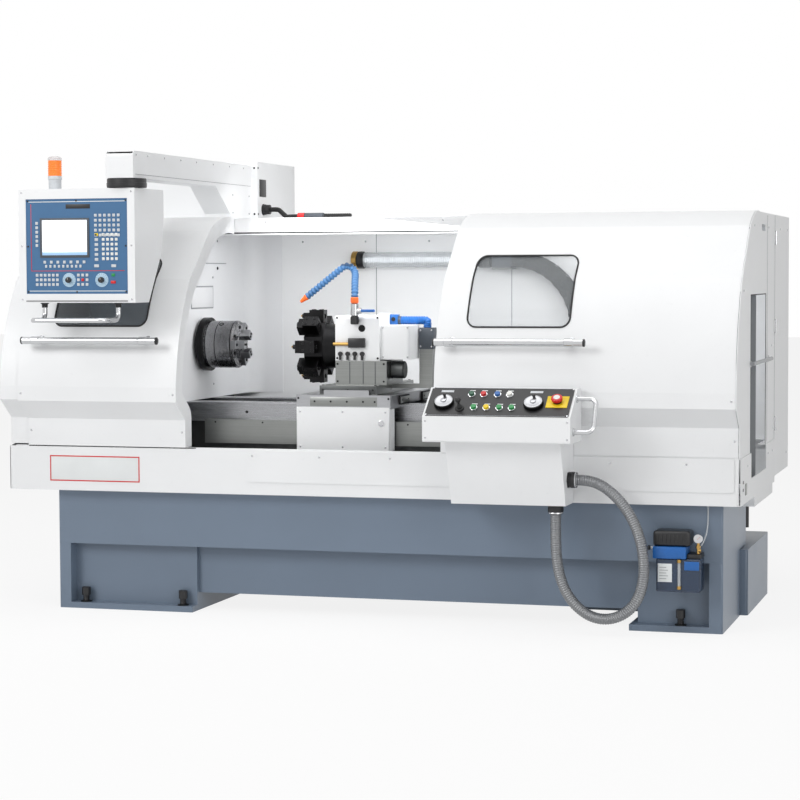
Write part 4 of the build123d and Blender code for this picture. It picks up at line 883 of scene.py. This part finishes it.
# Enclosure, arm and cabinet
def addEnclosureTrim():
    made = Build("enclosureTrim")
    for x in (-600, -200, 200, 600, 1000, 1400):
        made.screw(at(x, 760, 1659), toTop, 0.0045, chrome)
        made.screw(at(x, 600, 1640), toFront, 0.004, chrome)
    made.box(at(-858, 599.2, 1590), at(1538, 600.2, 1596), rubber, 0.0003)
    made.box(at(-859, 598.0, 1600), at(-846, 600.2, 1650), blackPlastic, 0.001)
    for depth, z in ((100, 1340), (420, 1600), (880, 1600), (1000, 1100), (1300, 1600), (1560, 1600),
            (1560, 600)):
        made.screw(at(1545, depth, z), toRight, 0.005, chrome)
    made.box(at(1545, 840, 700), at(1546.0, 842, 1650), greyPaint, 0.0003)
    made.box(at(1545, 1101, 535), at(1546.0, 1103, 1655), greyPaint, 0.0003)
    for z in (760, 1180, 1560):
        made.rod(at(1550, 1103, z - 30), at(1550, 1103, z + 30), 0.005, chrome, 0.001, 18)
        made.box(at(1545, 1080, z - 26), at(1547.5, 1126, z + 26), whitePaint, 0.0006)
    x0, x1 = 1544.2, 1546.2
    for box in ((309, 313.5, 692, 1324), (789.5, 794, 692, 1324), (309, 794, 1319.5, 1324)):
        made.box(at(x0, box[0], box[2]), at(x1, box[1], box[3]), rubber, 0.0005)
    for depth in (330, 885):
        made.turned(at(1545, depth - 35 if depth == 330 else depth, 1048), toRight,
                    [(0, 0.013), (0.003, 0.013), (0.0045, 0.011), (0.0045, 0.0072)], chrome, 28)
    made.box(at(1490, 292.6, 1052), at(1493.6, 420, 1078), blackPlastic, 0.0006)
    for z in (600, 1000, 1290):
        made.screw(at(1493, 330, z), toRight, 0.004, chrome)
        made.screw(at(1493, 670, z), toRight, 0.004, chrome)
    made.done("machine", "white_paint")


def addWallTrim():
    made = Build("headstockWallTrim")
    for z in (930, 1200, 1400, 1560):
        made.screw(at(-865, 640 if z < 1500 else 700, z), toRight, 0.005, chrome)
    made.box(at(-865.2, 380, 1264), at(-863.4, 642, 1363), greyPaint, 0.0008)
    made.box(at(-865.2, 386, 1270), at(-862.8, 636, 1357), innerPaint, 0.0006)
    made.box(at(-865.2, 380, 1460), at(-861.0, 800, 1464), greyPaint, 0.0008)
    made.screws((-865,), (460, 699), (1440,), toRight, 0.007, darkSteel)
    for x in range(-600, 1500, 300):
        made.screw(at(x, 1100, 1560), toFront, 0.0045, chrome)
        made.screw(at(x, 1100, 760), toFront, 0.0045, chrome)
    for x in (-250, 380, 1010):
        made.box(at(x, 1098.6, 700), at(x + 3, 1100.2, 1650), greyPaint, 0.0003)
    made.done("machine", "white_paint")


def addArmTrim():
    made = Build("armTrim")
    made.screws((-850,), (-240, -120, 60, 240, 420, 620, 820, 1000), (1895,), toRight, 0.004, chrome)
    made.box(at(-849.8, -250, 1816), at(-848.8, 1090, 1818), greyPaint, 0.0003)
    made.screws((-850,), (860, 1070), (1690, 1770), toRight, 0.004, chrome)
    made.turned(at(-910, -196, 1765), toTop, [(-0.0001, 0.066), (0.0004, 0.0805), (0.008, 0.0815),
            (0.018, 0.0815), (0.020, 0.0790), (0.036, 0.0790)], blackPlastic, 56)
    made.done("machine", "white_paint")


def addCabinetTrim():
    made = Build("cabinetTrim")
    for z in (1690, 1901):
        made.screw(at(-820, 1112, z), toRight, 0.0048, darkSteel)
        made.screw(at(-835, 1103, z), toFront, 0.0048, darkSteel)
    for z in (829, 1630):
        for k in range(12):
            low = z - 100 + k * 17
            made.box(at(-1564.9, 1260, low), at(-1563.0, 1470, low + 6), keyDark, 0.0008)
    made.turned(at(-820, 1180, 1712), toRight, [(0, 0.026), (0.004, 0.026), (0.005, 0.024), (0.014, 0.024),
            (0.015, 0.0222), (0.034, 0.0222), (0.036, 0.012)], blackPlastic, 24)
    made.box(at(-820.2, 1130, 1770), at(-817.4, 1215, 1850), blackPlastic, 0.001)
    made.box(at(-1510, 1139, 700), at(-860, 1143.6, 1800), greyPaint, 0.0005)
    made.done("machine", "white_paint")


def addCableTrim():
    made = Build("roofCableTrim")
    for x in range(-600, -360, 9):
        made.turned(at(x, 1060, 1675), toRight, [(0, 0.0111), (0.002, 0.0124), (0.005, 0.0124),
                (0.007, 0.0111)], rubber, 20)
    made.turned(at(-608, 1060, 1675), toRight, [(0, 0.0155), (0.001, 0.0166), (0.031, 0.0166),
            (0.033, 0.0155)], redPlastic, 32)
    made.turned(at(-575, 1060, 1675), toRight, [(0, 0.0152), (0.002, 0.0158), (0.086, 0.0158),
            (0.090, 0.0140), (0.092, 0.0115)], keyDark, 32)
    made.done("machine", "rubber")


addEnclosureTrim()
addWallTrim()
addArmTrim()
addCabinetTrim()
addCableTrim()
print("enclosure, arm and cabinet fitted")


# Work light and cable chain
light = {"x": (-344, 300), "depth": 1050, "z": 1475, "radius": 0.035, "rib": 0.0016, "pitch": 9.0}


def addWorkLight():
    made = Build("workLight")
    x0, x1 = light["x"]
    profile = [(0.0, light["radius"] - light["rib"])]
    step, s = light["pitch"] / 1000, 0.0
    span = (x1 - x0 - 110) / 1000
    while s + step < span:
        profile += [(s + step * 0.35, light["radius"]), (s + step * 0.8, light["radius"] - light["rib"])]
        s += step
    made.turned(at(x0 + 55, light["depth"], light["z"]), toRight, profile, clearPlastic, 32)
    made.rod(at(x0 + 50, light["depth"], light["z"]), at(x1 - 50, light["depth"], light["z"]), 0.012,
             screenWhite)
    for start, end, radius, finish in ((x0, x0 + 24, 0.040, brass),
            (x0 + 24, x0 + 56, 0.0382, blackPlastic), (x1 - 56, x1, 0.0365, blackPlastic)):
        made.rod(at(start, light["depth"], light["z"]), at(end, light["depth"], light["z"]), radius, finish,
                 0.003, 36)
    for x in (x0 + 40, x1 - 40):
        made.box(at(x - 14, light["depth"] + 28, 1457), at(x + 14, 1100, 1493), blackPaint, 0.002)
        made.rod(at(x - 14, light["depth"], light["z"]), at(x + 14, light["depth"], light["z"]), 0.0388,
                 blackPaint,
                 0.002, 36)
        made.screw(at(x, light["depth"], light["z"] + 38.8), toTop, 0.004, chrome)
    made.done("machine", "light_tube", "work_light")


chain = {"radius": 295.0, "x": 400.0, "z": 1180.0, "size": 75.0, "front": 1012.0, "links": 17, "shelf": 88.0}


def addDragChain():
    made = Build("dragChain")
    c = chain
    half = c["size"] / 2
    turnStep = 180.0 / c["links"]
    length = pi * (c["radius"] + half) / c["links"]
    for k in range(c["links"]):
        a = 90.0 - (k + 0.5) * turnStep
        turn = Matrix.Rotation(radians(90 - a), 3, "Y")
        middle = at(c["x"] + c["radius"] * cos(radians(a)), c["front"] + half,
                    c["z"] + c["radius"] * sin(radians(a)))
        for side in (-1, 1):
            step = 2.5 if k % 2 else 0.0
            centre = middle + Vector((0, side * (half - 5 - step) / 1000, 0))
            size = Vector((length * 0.98, 7.0, c["size"] * 0.9)) / 1000
            made.box(centre - size / 2, centre + size / 2, blackPlastic, 0.003, turn)
            for along in (-0.32, 0.32):
                hub = centre + turn @ Vector((along * length / 1000, 0, 0))
                made.turned(hub, (0, side, 0), [(0, 0.016), (0.0044, 0.016), (0.0052, 0.0145),
                        (0.0052, 0.007), (0.0042, 0.006), (0.0042, 0)], blackPlastic, 18)
        for high in (-0.44, 0.44):
            centre = middle + turn @ Vector((0, 0, high * c["size"] / 1000))
            size = Vector((16.0, c["size"] - 8.0, 5.0)) / 1000
            made.box(centre - size / 2, centre + size / 2, blackPlastic, 0.0015, turn)
    for z in (c["z"] + c["radius"], c["z"] - c["radius"]):
        made.box(at(c["x"] - c["shelf"], c["front"] - 4, z - half - 8), at(c["x"] + 4, 1100, z - half),
                 coverSteel, 0.001)
        made.box(at(c["x"] - c["shelf"], c["front"] - 1, z - half), at(c["x"], 1086, z + half - 3), keyDark,
                 0.002)
        made.box(at(c["x"] - c["shelf"] - 0.2, c["front"] + 10, z - 20),
                at(c["x"] - c["shelf"] + 3, 1070, z + 20), blackPlastic, 0.001)
    made.done("machine", "black_plastic", "drag_chain")


addWorkLight()
addDragChain()
print("light and chain fitted")


# Lubricator
lube = {"left": 1229, "right": 1402, "low": 175, "split": 305, "band": 352, "top": 413, "front": -52,
        "back": 52}


def addLubricator():
    made = Build("lubricatorUnit")
    u = lube
    made.box(at(u["left"], u["front"], u["low"]), at(u["right"], u["back"], u["split"]), oilGlass, 0.007,
             steps=3)
    made.box(at(u["left"] + 5, u["front"] + 5, u["low"] + 5), at(u["right"] - 5, u["back"] - 5, 252),
             keyDark, 0.004)
    made.box(at(1237, u["front"] - 1.2, 214), at(1292, u["front"] + 0.5, 286), labelWhite, 0.0005)
    for k in range(5):
        made.box(at(1243, u["front"] - 1.6, 226 + k * 11),
                at(1270 + 7 * (k % 2), u["front"] - 1.0, 228.5 + k * 11), greyPaint, 0.0002)
    made.rod(at(1321, u["front"] - 6, 194), at(1321, u["front"] - 6, 297), 0.0058, clearPlastic, 0.001, 20)
    for z in (194, 297):
        made.rod(at(1321, u["front"] - 6, z - 6), at(1321, u["front"] - 6, z + 6), 0.0085, brass, 0.001, 16)
    made.box(at(1340, u["front"] - 2, 262), at(1398, u["front"] + 1, 296), bluePlastic, 0.001)
    made.box(at(u["left"] - 12, u["front"] - 6, u["split"]), at(1347, u["back"], u["band"]), bluePlastic,
             0.004)
    made.box(at(1347, u["front"] + 10, u["split"]), at(u["right"], u["back"], u["split"] + 18),
             blackPlastic, 0.003)
    made.box(at(u["left"] - 12, u["front"], u["band"]), at(1362, u["back"], u["top"]), blackPaint, 0.012,
             steps=4)
    for k in range(7):
        x = u["left"] + 4 + k * 16
        made.box(at(x, u["front"] - 2.4, u["band"] + 14), at(x + 6, u["front"] + 3, u["top"] - 13),
                 blackPlastic, 0.001)
    made.box(at(1239, 52, 283), at(1332, 60, 403), greyPaint, 0.001)
    gauge = at(1390, -17, 383)
    made.turned(gauge, toFront, [(0, 0.0165), (0.002, 0.0183), (0.013, 0.0183), (0.0148, 0.0172),
            (0.0148, 0.0158)], chrome, 40)
    made.turned(gauge - Vector((0, 0.0138, 0)), toFront, [(0, 0.0158), (0.0004, 0.0156), (0.0004, 0)],
                labelWhite, 40)
    for k in range(11):
        a = radians(-130 + 26 * k)
        spot = gauge + Vector((0.0128 * sin(a), -0.0144, 0.0128 * cos(a)))
        made.box(spot - Vector((0.0004, 0.0002, 0.0013)), spot + Vector((0.0004, 0.0002, 0.0013)), keyDark,
                 0.0, Matrix.Rotation(a, 3, "Y"))
    made.rod(gauge + Vector((-0.004, -0.0147, -0.004)), gauge + Vector((0.008, -0.0147, 0.008)), 0.0005,
             redPlastic, 0, 6)
    made.rod(at(1390, -26, 324), at(1390, -26, 368), 0.0062, brass, 0.001, 12)
    made.rod(at(1390, -26, 336), at(1401, -26, 336), 0.0075, brass, 0.001, 6)
    made.turned(at(1390, -26, 346), toTop, [(0, 0.0095), (0.010, 0.0095)], brass, 6)
    made.rod(at(1217, 0, 340), at(1196, 0, 340), 0.005, chrome, 0.001, 14)
    made.turned(at(1200, 0, 340), toLeft, [(0, 0.006), (0.003, 0.009), (0.010, 0.009), (0.013, 0.006)],
                blackPlastic, 20)
    feed = [at(1395, 20, 350), at(1410, 35, 380), at(1416, 56, 430), at(1416, 57, 490), at(1416, 57, 507)]
    made.tube(smoothLine(feed, 0.006)[0], 0.0032, clearPlastic, sides=10)
    made.done("machine", "blue_plastic", "lubricator")


addLubricator()
print("lubricator fitted")


# Chuck, jaws and turret
def addChuckTrim():
    made = Build("chuckTrim")
    axis = (500, 1110)
    for x, r in ((-814, 102), (-770, 102), (-700, 102)):
        made.turned(at(x, *axis), toRight, [(0, r / 1000), (0.001, r / 1000 + 0.0004),
                (0.003, r / 1000 + 0.0004), (0.004, r / 1000)], darkSteel, 72)
    for k in range(6):
        a = radians(60 * k + 30)
        made.screw(at(-687, 500 + 74 * cos(a), 1110 + 74 * sin(a)), toRight, 0.008, darkSteel)
    for r in (44, 58, 88):
        made.turned(at(-687.2, *axis), toRight, [(0, (r + 0.8) / 1000), (0.0004, (r + 0.8) / 1000),
                (0.0004, (r - 0.8) / 1000), (0, (r - 0.8) / 1000)], darkSteel, 72)
    made.turned(at(-688, *axis), toRight, [(0, 0.034), (0.002, 0.034), (0.003, 0.0335), (0.003, 0.0262)],
                chuckSteel, 48)
    for k in range(3):
        a = radians(60 * (2 * k) + 120)
        out = Vector((0, cos(a), sin(a)))
        middle = at(-752, *axis) + out * 0.101
        made.turned(middle, out, [(0, 0.011), (0.0014, 0.011), (0.0016, 0.0102), (0.0016, 0.006),
                (-0.006, 0.0055), (-0.006, 0)], darkSteel, 24)
    made.done("spindle_line", "steel")


jawAngles = {"jaw_1": 180.0, "jaw_2": 60.0, "jaw_3": 300.0}


def addJawTrim(body, angle):
    made = Build(body.replace("_", "") + "Trim")
    out = Vector((0, cos(radians(angle)), sin(radians(angle))))
    across = Vector((0, -sin(radians(angle)), cos(radians(angle))))
    turn = Matrix(((1, 0, 0), out, across)).transposed()
    for far in (38, 52):
        made.screw(at(-645, 500, 1110) + out * far / 1000, toRight, 0.0055, darkSteel)
    made.screw(at(-672, 500, 1110) + out * 0.080, toRight, 0.0065, darkSteel)
    for k in range(6):
        middle = at(-650 - 4 * k, 500, 1110) + out * 0.0298
        size = Vector((0.0012, 0.0012, 0.034))
        made.box(middle - size / 2, middle + size / 2, darkSteel, 0.0002, turn)
    made.done(body, "steel")


turret = {"axis": (330, 1110), "stations": 8, "face": -329, "disc": -303, "hub": -323}


def addTurretTrim():
    made = Build("turretTrim")
    for k in range(turret["stations"]):
        a = 2 * pi * k / turret["stations"]
        out, across = Vector((0, cos(a), sin(a))), Vector((0, -sin(a), cos(a)))
        turn = Matrix(((1, 0, 0), out, across)).transposed()
        face = at(turret["face"], *turret["axis"])
        for side in (-1, 1):
            made.screw(face + out * 0.1200 + across * side * 0.0195, toLeft, 0.0042, darkSteel)
            top = at(-290, *turret["axis"]) + out * 0.152 + across * side * 0.014
            made.screw(top, out, 0.0060, darkSteel)
            made.screw(top + Vector((0.034, 0, 0)), out, 0.0060, darkSteel)
        tip = face + out * 0.126
        if k % 2 == 0:  # boring bar
            made.rod(tip + Vector((0.02, 0, 0)), tip - Vector((0.012, 0, 0)), 0.0098, darkSteel, 0.001, 20)
            made.box(tip - Vector((0.018, 0.003, 0.003)), tip - Vector((0.010, -0.004, -0.004)), brass,
                     0.0008, turn)
        else:  # collar of an empty station
            made.turned(tip, toLeft, [(0, 0.0135), (0.003, 0.0135), (0.004, 0.0122), (0.004, 0.0102)],
                        darkSteel, 24)
        gap = 2 * pi * (k + 0.5) / turret["stations"]
        spot = at(turret["disc"], turret["axis"][0] + 84 * cos(gap), turret["axis"][1] + 84 * sin(gap))
        made.screw(spot, toLeft, 0.0055, darkSteel)
    hub = at(turret["hub"], *turret["axis"])
    made.turned(hub, toLeft, [(-0.001, 0.0475), (0.001, 0.0455), (0.001, 0.030), (-0.004, 0.028),
            (-0.004, 0)], turretBlack, 48)
    for k in range(6):
        a = 2 * pi * k / 6
        made.screw(hub + Vector((-0.001, 0.038 * cos(a), 0.038 * sin(a))), toLeft, 0.0045, darkSteel)
    made.done("turret", "steel")


line = {"x": -75, "depth": 216, "back": 330, "bead": 0.0165}


def addHousingTrim():
    made = Build("turretHousingTrim")
    for x in (-143, -111, -80, -48):
        made.turned(at(x, 235, 1081), toFront, [(0, 0.0095), (0.010, 0.0095), (0.012, 0.0080), (0.012, 0)],
                    blackPaint, 18)
        made.rod(at(x, 228, 1081), at(x, 228, 1056), 0.0052, blackPaint, 0.001, 14)
    made.box(at(-106, 217, 1107), at(-35, 235.4, 1147), blackPaint, 0.002)
    made.rod(at(-172, 226, 1122), at(-105, 226, 1122), 0.0072, brass, 0.001, 18)
    made.turned(at(-50, 235, 1187), toFront, [(0, 0.0145), (0.002, 0.0145), (0.003, 0.013), (0.003, 0.010),
            (0.0005, 0.010), (0.0005, 0)], turretBlack, 32)
    made.screws((-158, 18), (235,), (1231, 1063), toFront, 0.0045, darkSteel)
    made.screws((36, 142), (250,), (1068, 1190), toFront, 0.0042, chrome)
    made.rod(at(62, 300, 1014), at(118, 300, 1014), 0.036, bedIron, 0.003, 36)
    # valve, fittings and beads on the coolant line
    x, depth, back = line["x"], line["depth"], line["back"]
    made.rod(at(x, 236, 1219), at(x, depth - 2, 1219), 0.0155, blackPlastic, 0.003, 24)
    made.rod(at(x, depth, 1204), at(x, depth, 1238), 0.0175, blackPlastic, 0.003, 24)
    made.rod(at(x, depth, 1238), at(x, depth, 1291), 0.0165, chrome, 0.003, 28)
    made.rod(at(x, depth, 1291), at(x, depth, 1316), 0.0168, orangePlastic, 0.003, 28)
    made.rod(at(x, depth, 1260), at(x + 30, depth, 1260), 0.012, chrome, 0.001, 20)
    made.box(at(x + 16, depth - 11, 1254), at(x + 86, depth + 11, 1266), bluePlastic, 0.004)
    path = smoothLine([at(x, depth, 1314), at(x, depth + 4, 1335), at(x - 14, depth + 50, 1380),
            at(x - 28, back - 8, 1418), at(x - 46, back, 1441), at(x - 75, back, 1448),
            at(x - 108, back, 1424), at(x - 175, back, 1372), at(x - 245, back, 1318)], 0.0016)[0]

    def beadRadius(s):
        f = (s % line["bead"]) / line["bead"]
        return 0.0112 + 0.0042 * sin(pi * min(1.0, f * 1.25)) if f < 0.8 else 0.0112
    made.tube(path, beadRadius, beadBlue, sides=20)
    ahead = (path[-1] - path[-6]).normalized()
    made.turned(path[-1], ahead, [(0, 0.0115), (0.004, 0.0135), (0.010, 0.0115), (0.036, 0.0060),
            (0.036, 0.0038)], orangePlastic, 20)
    # conduit from the housing's top block to the connector
    made.box(at(-22, 385, 1239), at(26, 421, 1247), stonePaint, 0.001)
    made.box(at(26.2, 383, 1200), at(60, 423, 1242), bluePlastic, 0.003)
    made.rod(at(43, 383, 1222), at(43, 378, 1222), 0.009, blackPlastic, 0.001, 20)
    rib = [at(58, 405, 1217), at(110, 405, 1217), at(158, 405, 1217), at(185, 405, 1217), at(185, 405, 1200),
           at(185, 405, 1187)]
    tube = smoothLine(rib, 0.0012)[0]
    made.tube(tube, lambda s: 0.0166 + 0.0012 * sin(2 * pi * s / 0.007), bluePlastic, sides=24)
    made.turned(at(60, 405, 1217), toRight, [(0, 0.020), (0.010, 0.020), (0.012, 0.0182)], keyDark, 6)
    made.done("slide_block", "blue_plastic", "coolant_line", "turret_conduit")


def addCarriageTrim():
    made = Build("carriageTrim")
    made.screws((-290, -106, 78), (140,), (700, 845), toFront, 0.0042, chrome)
    made.screws((-301, 89), (150,), (900,), toFront, 0.0045, darkSteel)
    made.box(at(-250, 149.0, 868), at(40, 150.4, 906), coverSteel, 0.0008)
    made.screws((-230, -160, -90, -20, 30), (149.0,), (887,), toFront, 0.0042, darkSteel)
    made.turned(at(60, 140, 800), toFront, [(0, 0.013), (0.003, 0.013), (0.004, 0.0115), (0.004, 0.009)],
                chrome, 28)
    made.turned(at(60, 139, 800), toFront, [(0, 0.0092), (0.0022, 0.0088), (0.0026, 0)], oilGlass, 24)
    for x, side in ((-315, -1), (103, 1)):
        for depth in (275, 615):
            made.box(at(x, depth + 4, 876), at(x + side * 2, depth + 136, 902), coverSteel, 0.0006)
            for far in (20, 110):
                made.screw(at(x + side * 2, depth + far, 889), (side, 0, 0), 0.004, darkSteel)
    made.done("carriage", "cast_iron")


def addSlideTrim():
    made = Build("slideTrim")
    made.screws((-205, 20), (190, 560, 700), (952,), toTop, 0.0058, darkSteel)
    made.box(at(-214, 168.8, 917), at(29, 170.4, 951), bedIron, 0.0008)
    made.screws((-200, -92, 16), (168.8,), (934,), toFront, 0.0042, darkSteel)
    made.screws((-150, 50), (213.0,), (968, 1040), toFront, 0.004, darkSteel)
    for x in (-98, -40, 12):
        made.box(at(x, 212.2, 958), at(x + 1.4, 213.6, 1050), keyDark, 0.0002)
    made.box(at(154, 378.0, 1097), at(216.5, 437, 1186.6), keyDark, 0.003)
    for x in (162, 209):
        made.screw(at(x, 378.0, 1108), toFront, 0.0038, chrome)
        made.screw(at(x, 378.0, 1176), toFront, 0.0038, chrome)
    made.done("slide_block", "cast_iron")


def addTailstockTrim():
    made = Build("tailstockTrim")
    made.turned(at(1100, 500, 1110), toLeft, [(-0.001, 0.060), (0.006, 0.060), (0.008, 0.057),
            (0.008, 0.0353)], groundSteel, 48)
    for k in range(6):
        a = 2 * pi * k / 6
        made.screw(at(1092, 500 + 48 * cos(a), 1110 + 48 * sin(a)), toLeft, 0.005, darkSteel)
    for x in (1120, 1360):
        made.screw(at(x, 340, 930), toTop, 0.010, darkSteel)
        made.screw(at(x, 680, 930), toTop, 0.010, darkSteel)
    made.done("tailstock_body", "cast_paint")


addChuckTrim()
for body, angle in jawAngles.items():
    addJawTrim(body, angle)
addTurretTrim()
addHousingTrim()
addCarriageTrim()
addSlideTrim()
addTailstockTrim()
print("spindle, turret and carriage fitted")


# Floor, lamps and world
studio = {"floor": 40.0, "key": 270.0, "fill": 165.0, "top": 160.0, "zone": 9.0, "ambient": 0.30}


def cameraRay(s):
    path = s.add("ShaderNodeLightPath", output="Is Camera Ray")
    glossy = s.add("ShaderNodeLightPath", output="Is Glossy Ray")
    through = s.add("ShaderNodeLightPath", output="Is Transmission Ray")
    return s.add("ShaderNodeMath", {"operation": "MAXIMUM"},
            {0: s.add("ShaderNodeMath", {"operation": "MAXIMUM"}, {0: path, 1: glossy}), 1: through})


def addFloor():
    s = Shader("floorWhite")
    seen = cameraRay(s)
    cloud = s.noise(0.8, 2.0)
    flat = s.add("ShaderNodeBsdfDiffuse", None, {"Color": s.mix(cloud, (0.86, 0.86, 0.86, 1),
            (0.9, 0.9, 0.9, 1))})
    white = s.add("ShaderNodeEmission", None, {"Color": (1, 1, 1, 1), "Strength": 1.0})
    both = s.add("ShaderNodeMixShader", None, {0: seen * 0.86, 1: flat, 2: white})
    s.tree.links.new(both.socket, s.end.inputs[0])
    data = bpy.data.meshes.new("floor")
    half = studio["floor"]
    data.from_pydata([(-half, -half, 0), (half, -half, 0), (half, half, 0), (-half, half, 0)], [],
            [(0, 1, 2, 3)])
    data.materials.append(s.material)
    floor = bpy.data.objects.new("floor", data)
    bpy.context.scene.collection.objects.link(floor)


def addLamp(name, place, target, size, power, shine=True):
    data = bpy.data.lights.new(name, "AREA")
    data.shape, data.size, data.energy = "SQUARE", size, power
    lamp = bpy.data.objects.new(name, data)
    lamp.location = place
    lamp.rotation_euler = (Vector(target) - Vector(place)).to_track_quat("-Z", "Y").to_euler()
    lamp.visible_camera, lamp.visible_glossy = False, shine
    bpy.context.scene.collection.objects.link(lamp)


def addWorld():
    world = bpy.data.worlds.new("studio")
    world.use_nodes = True
    s = Shader("unused")
    s.tree = world.node_tree
    s.tree.nodes.clear()
    s.end = s.tree.nodes.new("ShaderNodeOutputWorld")
    seen = cameraRay(s)
    strength = s.add("ShaderNodeMath", {"operation": "MAXIMUM"}, {0: seen, 1: studio["ambient"]})
    sky = s.add("ShaderNodeBackground", None, {"Color": (1, 1, 1, 1), "Strength": strength})
    s.tree.links.new(sky.socket, s.end.inputs[0])
    bpy.data.materials.remove(s.material)
    bpy.context.scene.world = world


addFloor()
addLamp("keyLamp", (-4.5, -7.0, 4.8), (0, -0.3, 1.0), 3.5, studio["key"])
addLamp("fillLamp", (6.5, -6.5, 3.0), (0.3, -0.2, 0.9), 4.0, studio["fill"])
addLamp("topLamp", (0.0, -1.5, 6.5), (0, 0, 1.0), 5.0, studio["top"])
addLamp("zoneLamp", (-0.15, -0.12, 1.60), (-0.2, 0.25, 1.1), 0.9, studio["zone"], False)
addLamp("rearZoneLamp", (0.85, 0.05, 1.60), (0.75, 0.3, 1.1), 0.8, studio["zone"], False)
addWorld()
bpy.context.scene.view_settings.view_transform = "Standard"
print("studio lit")
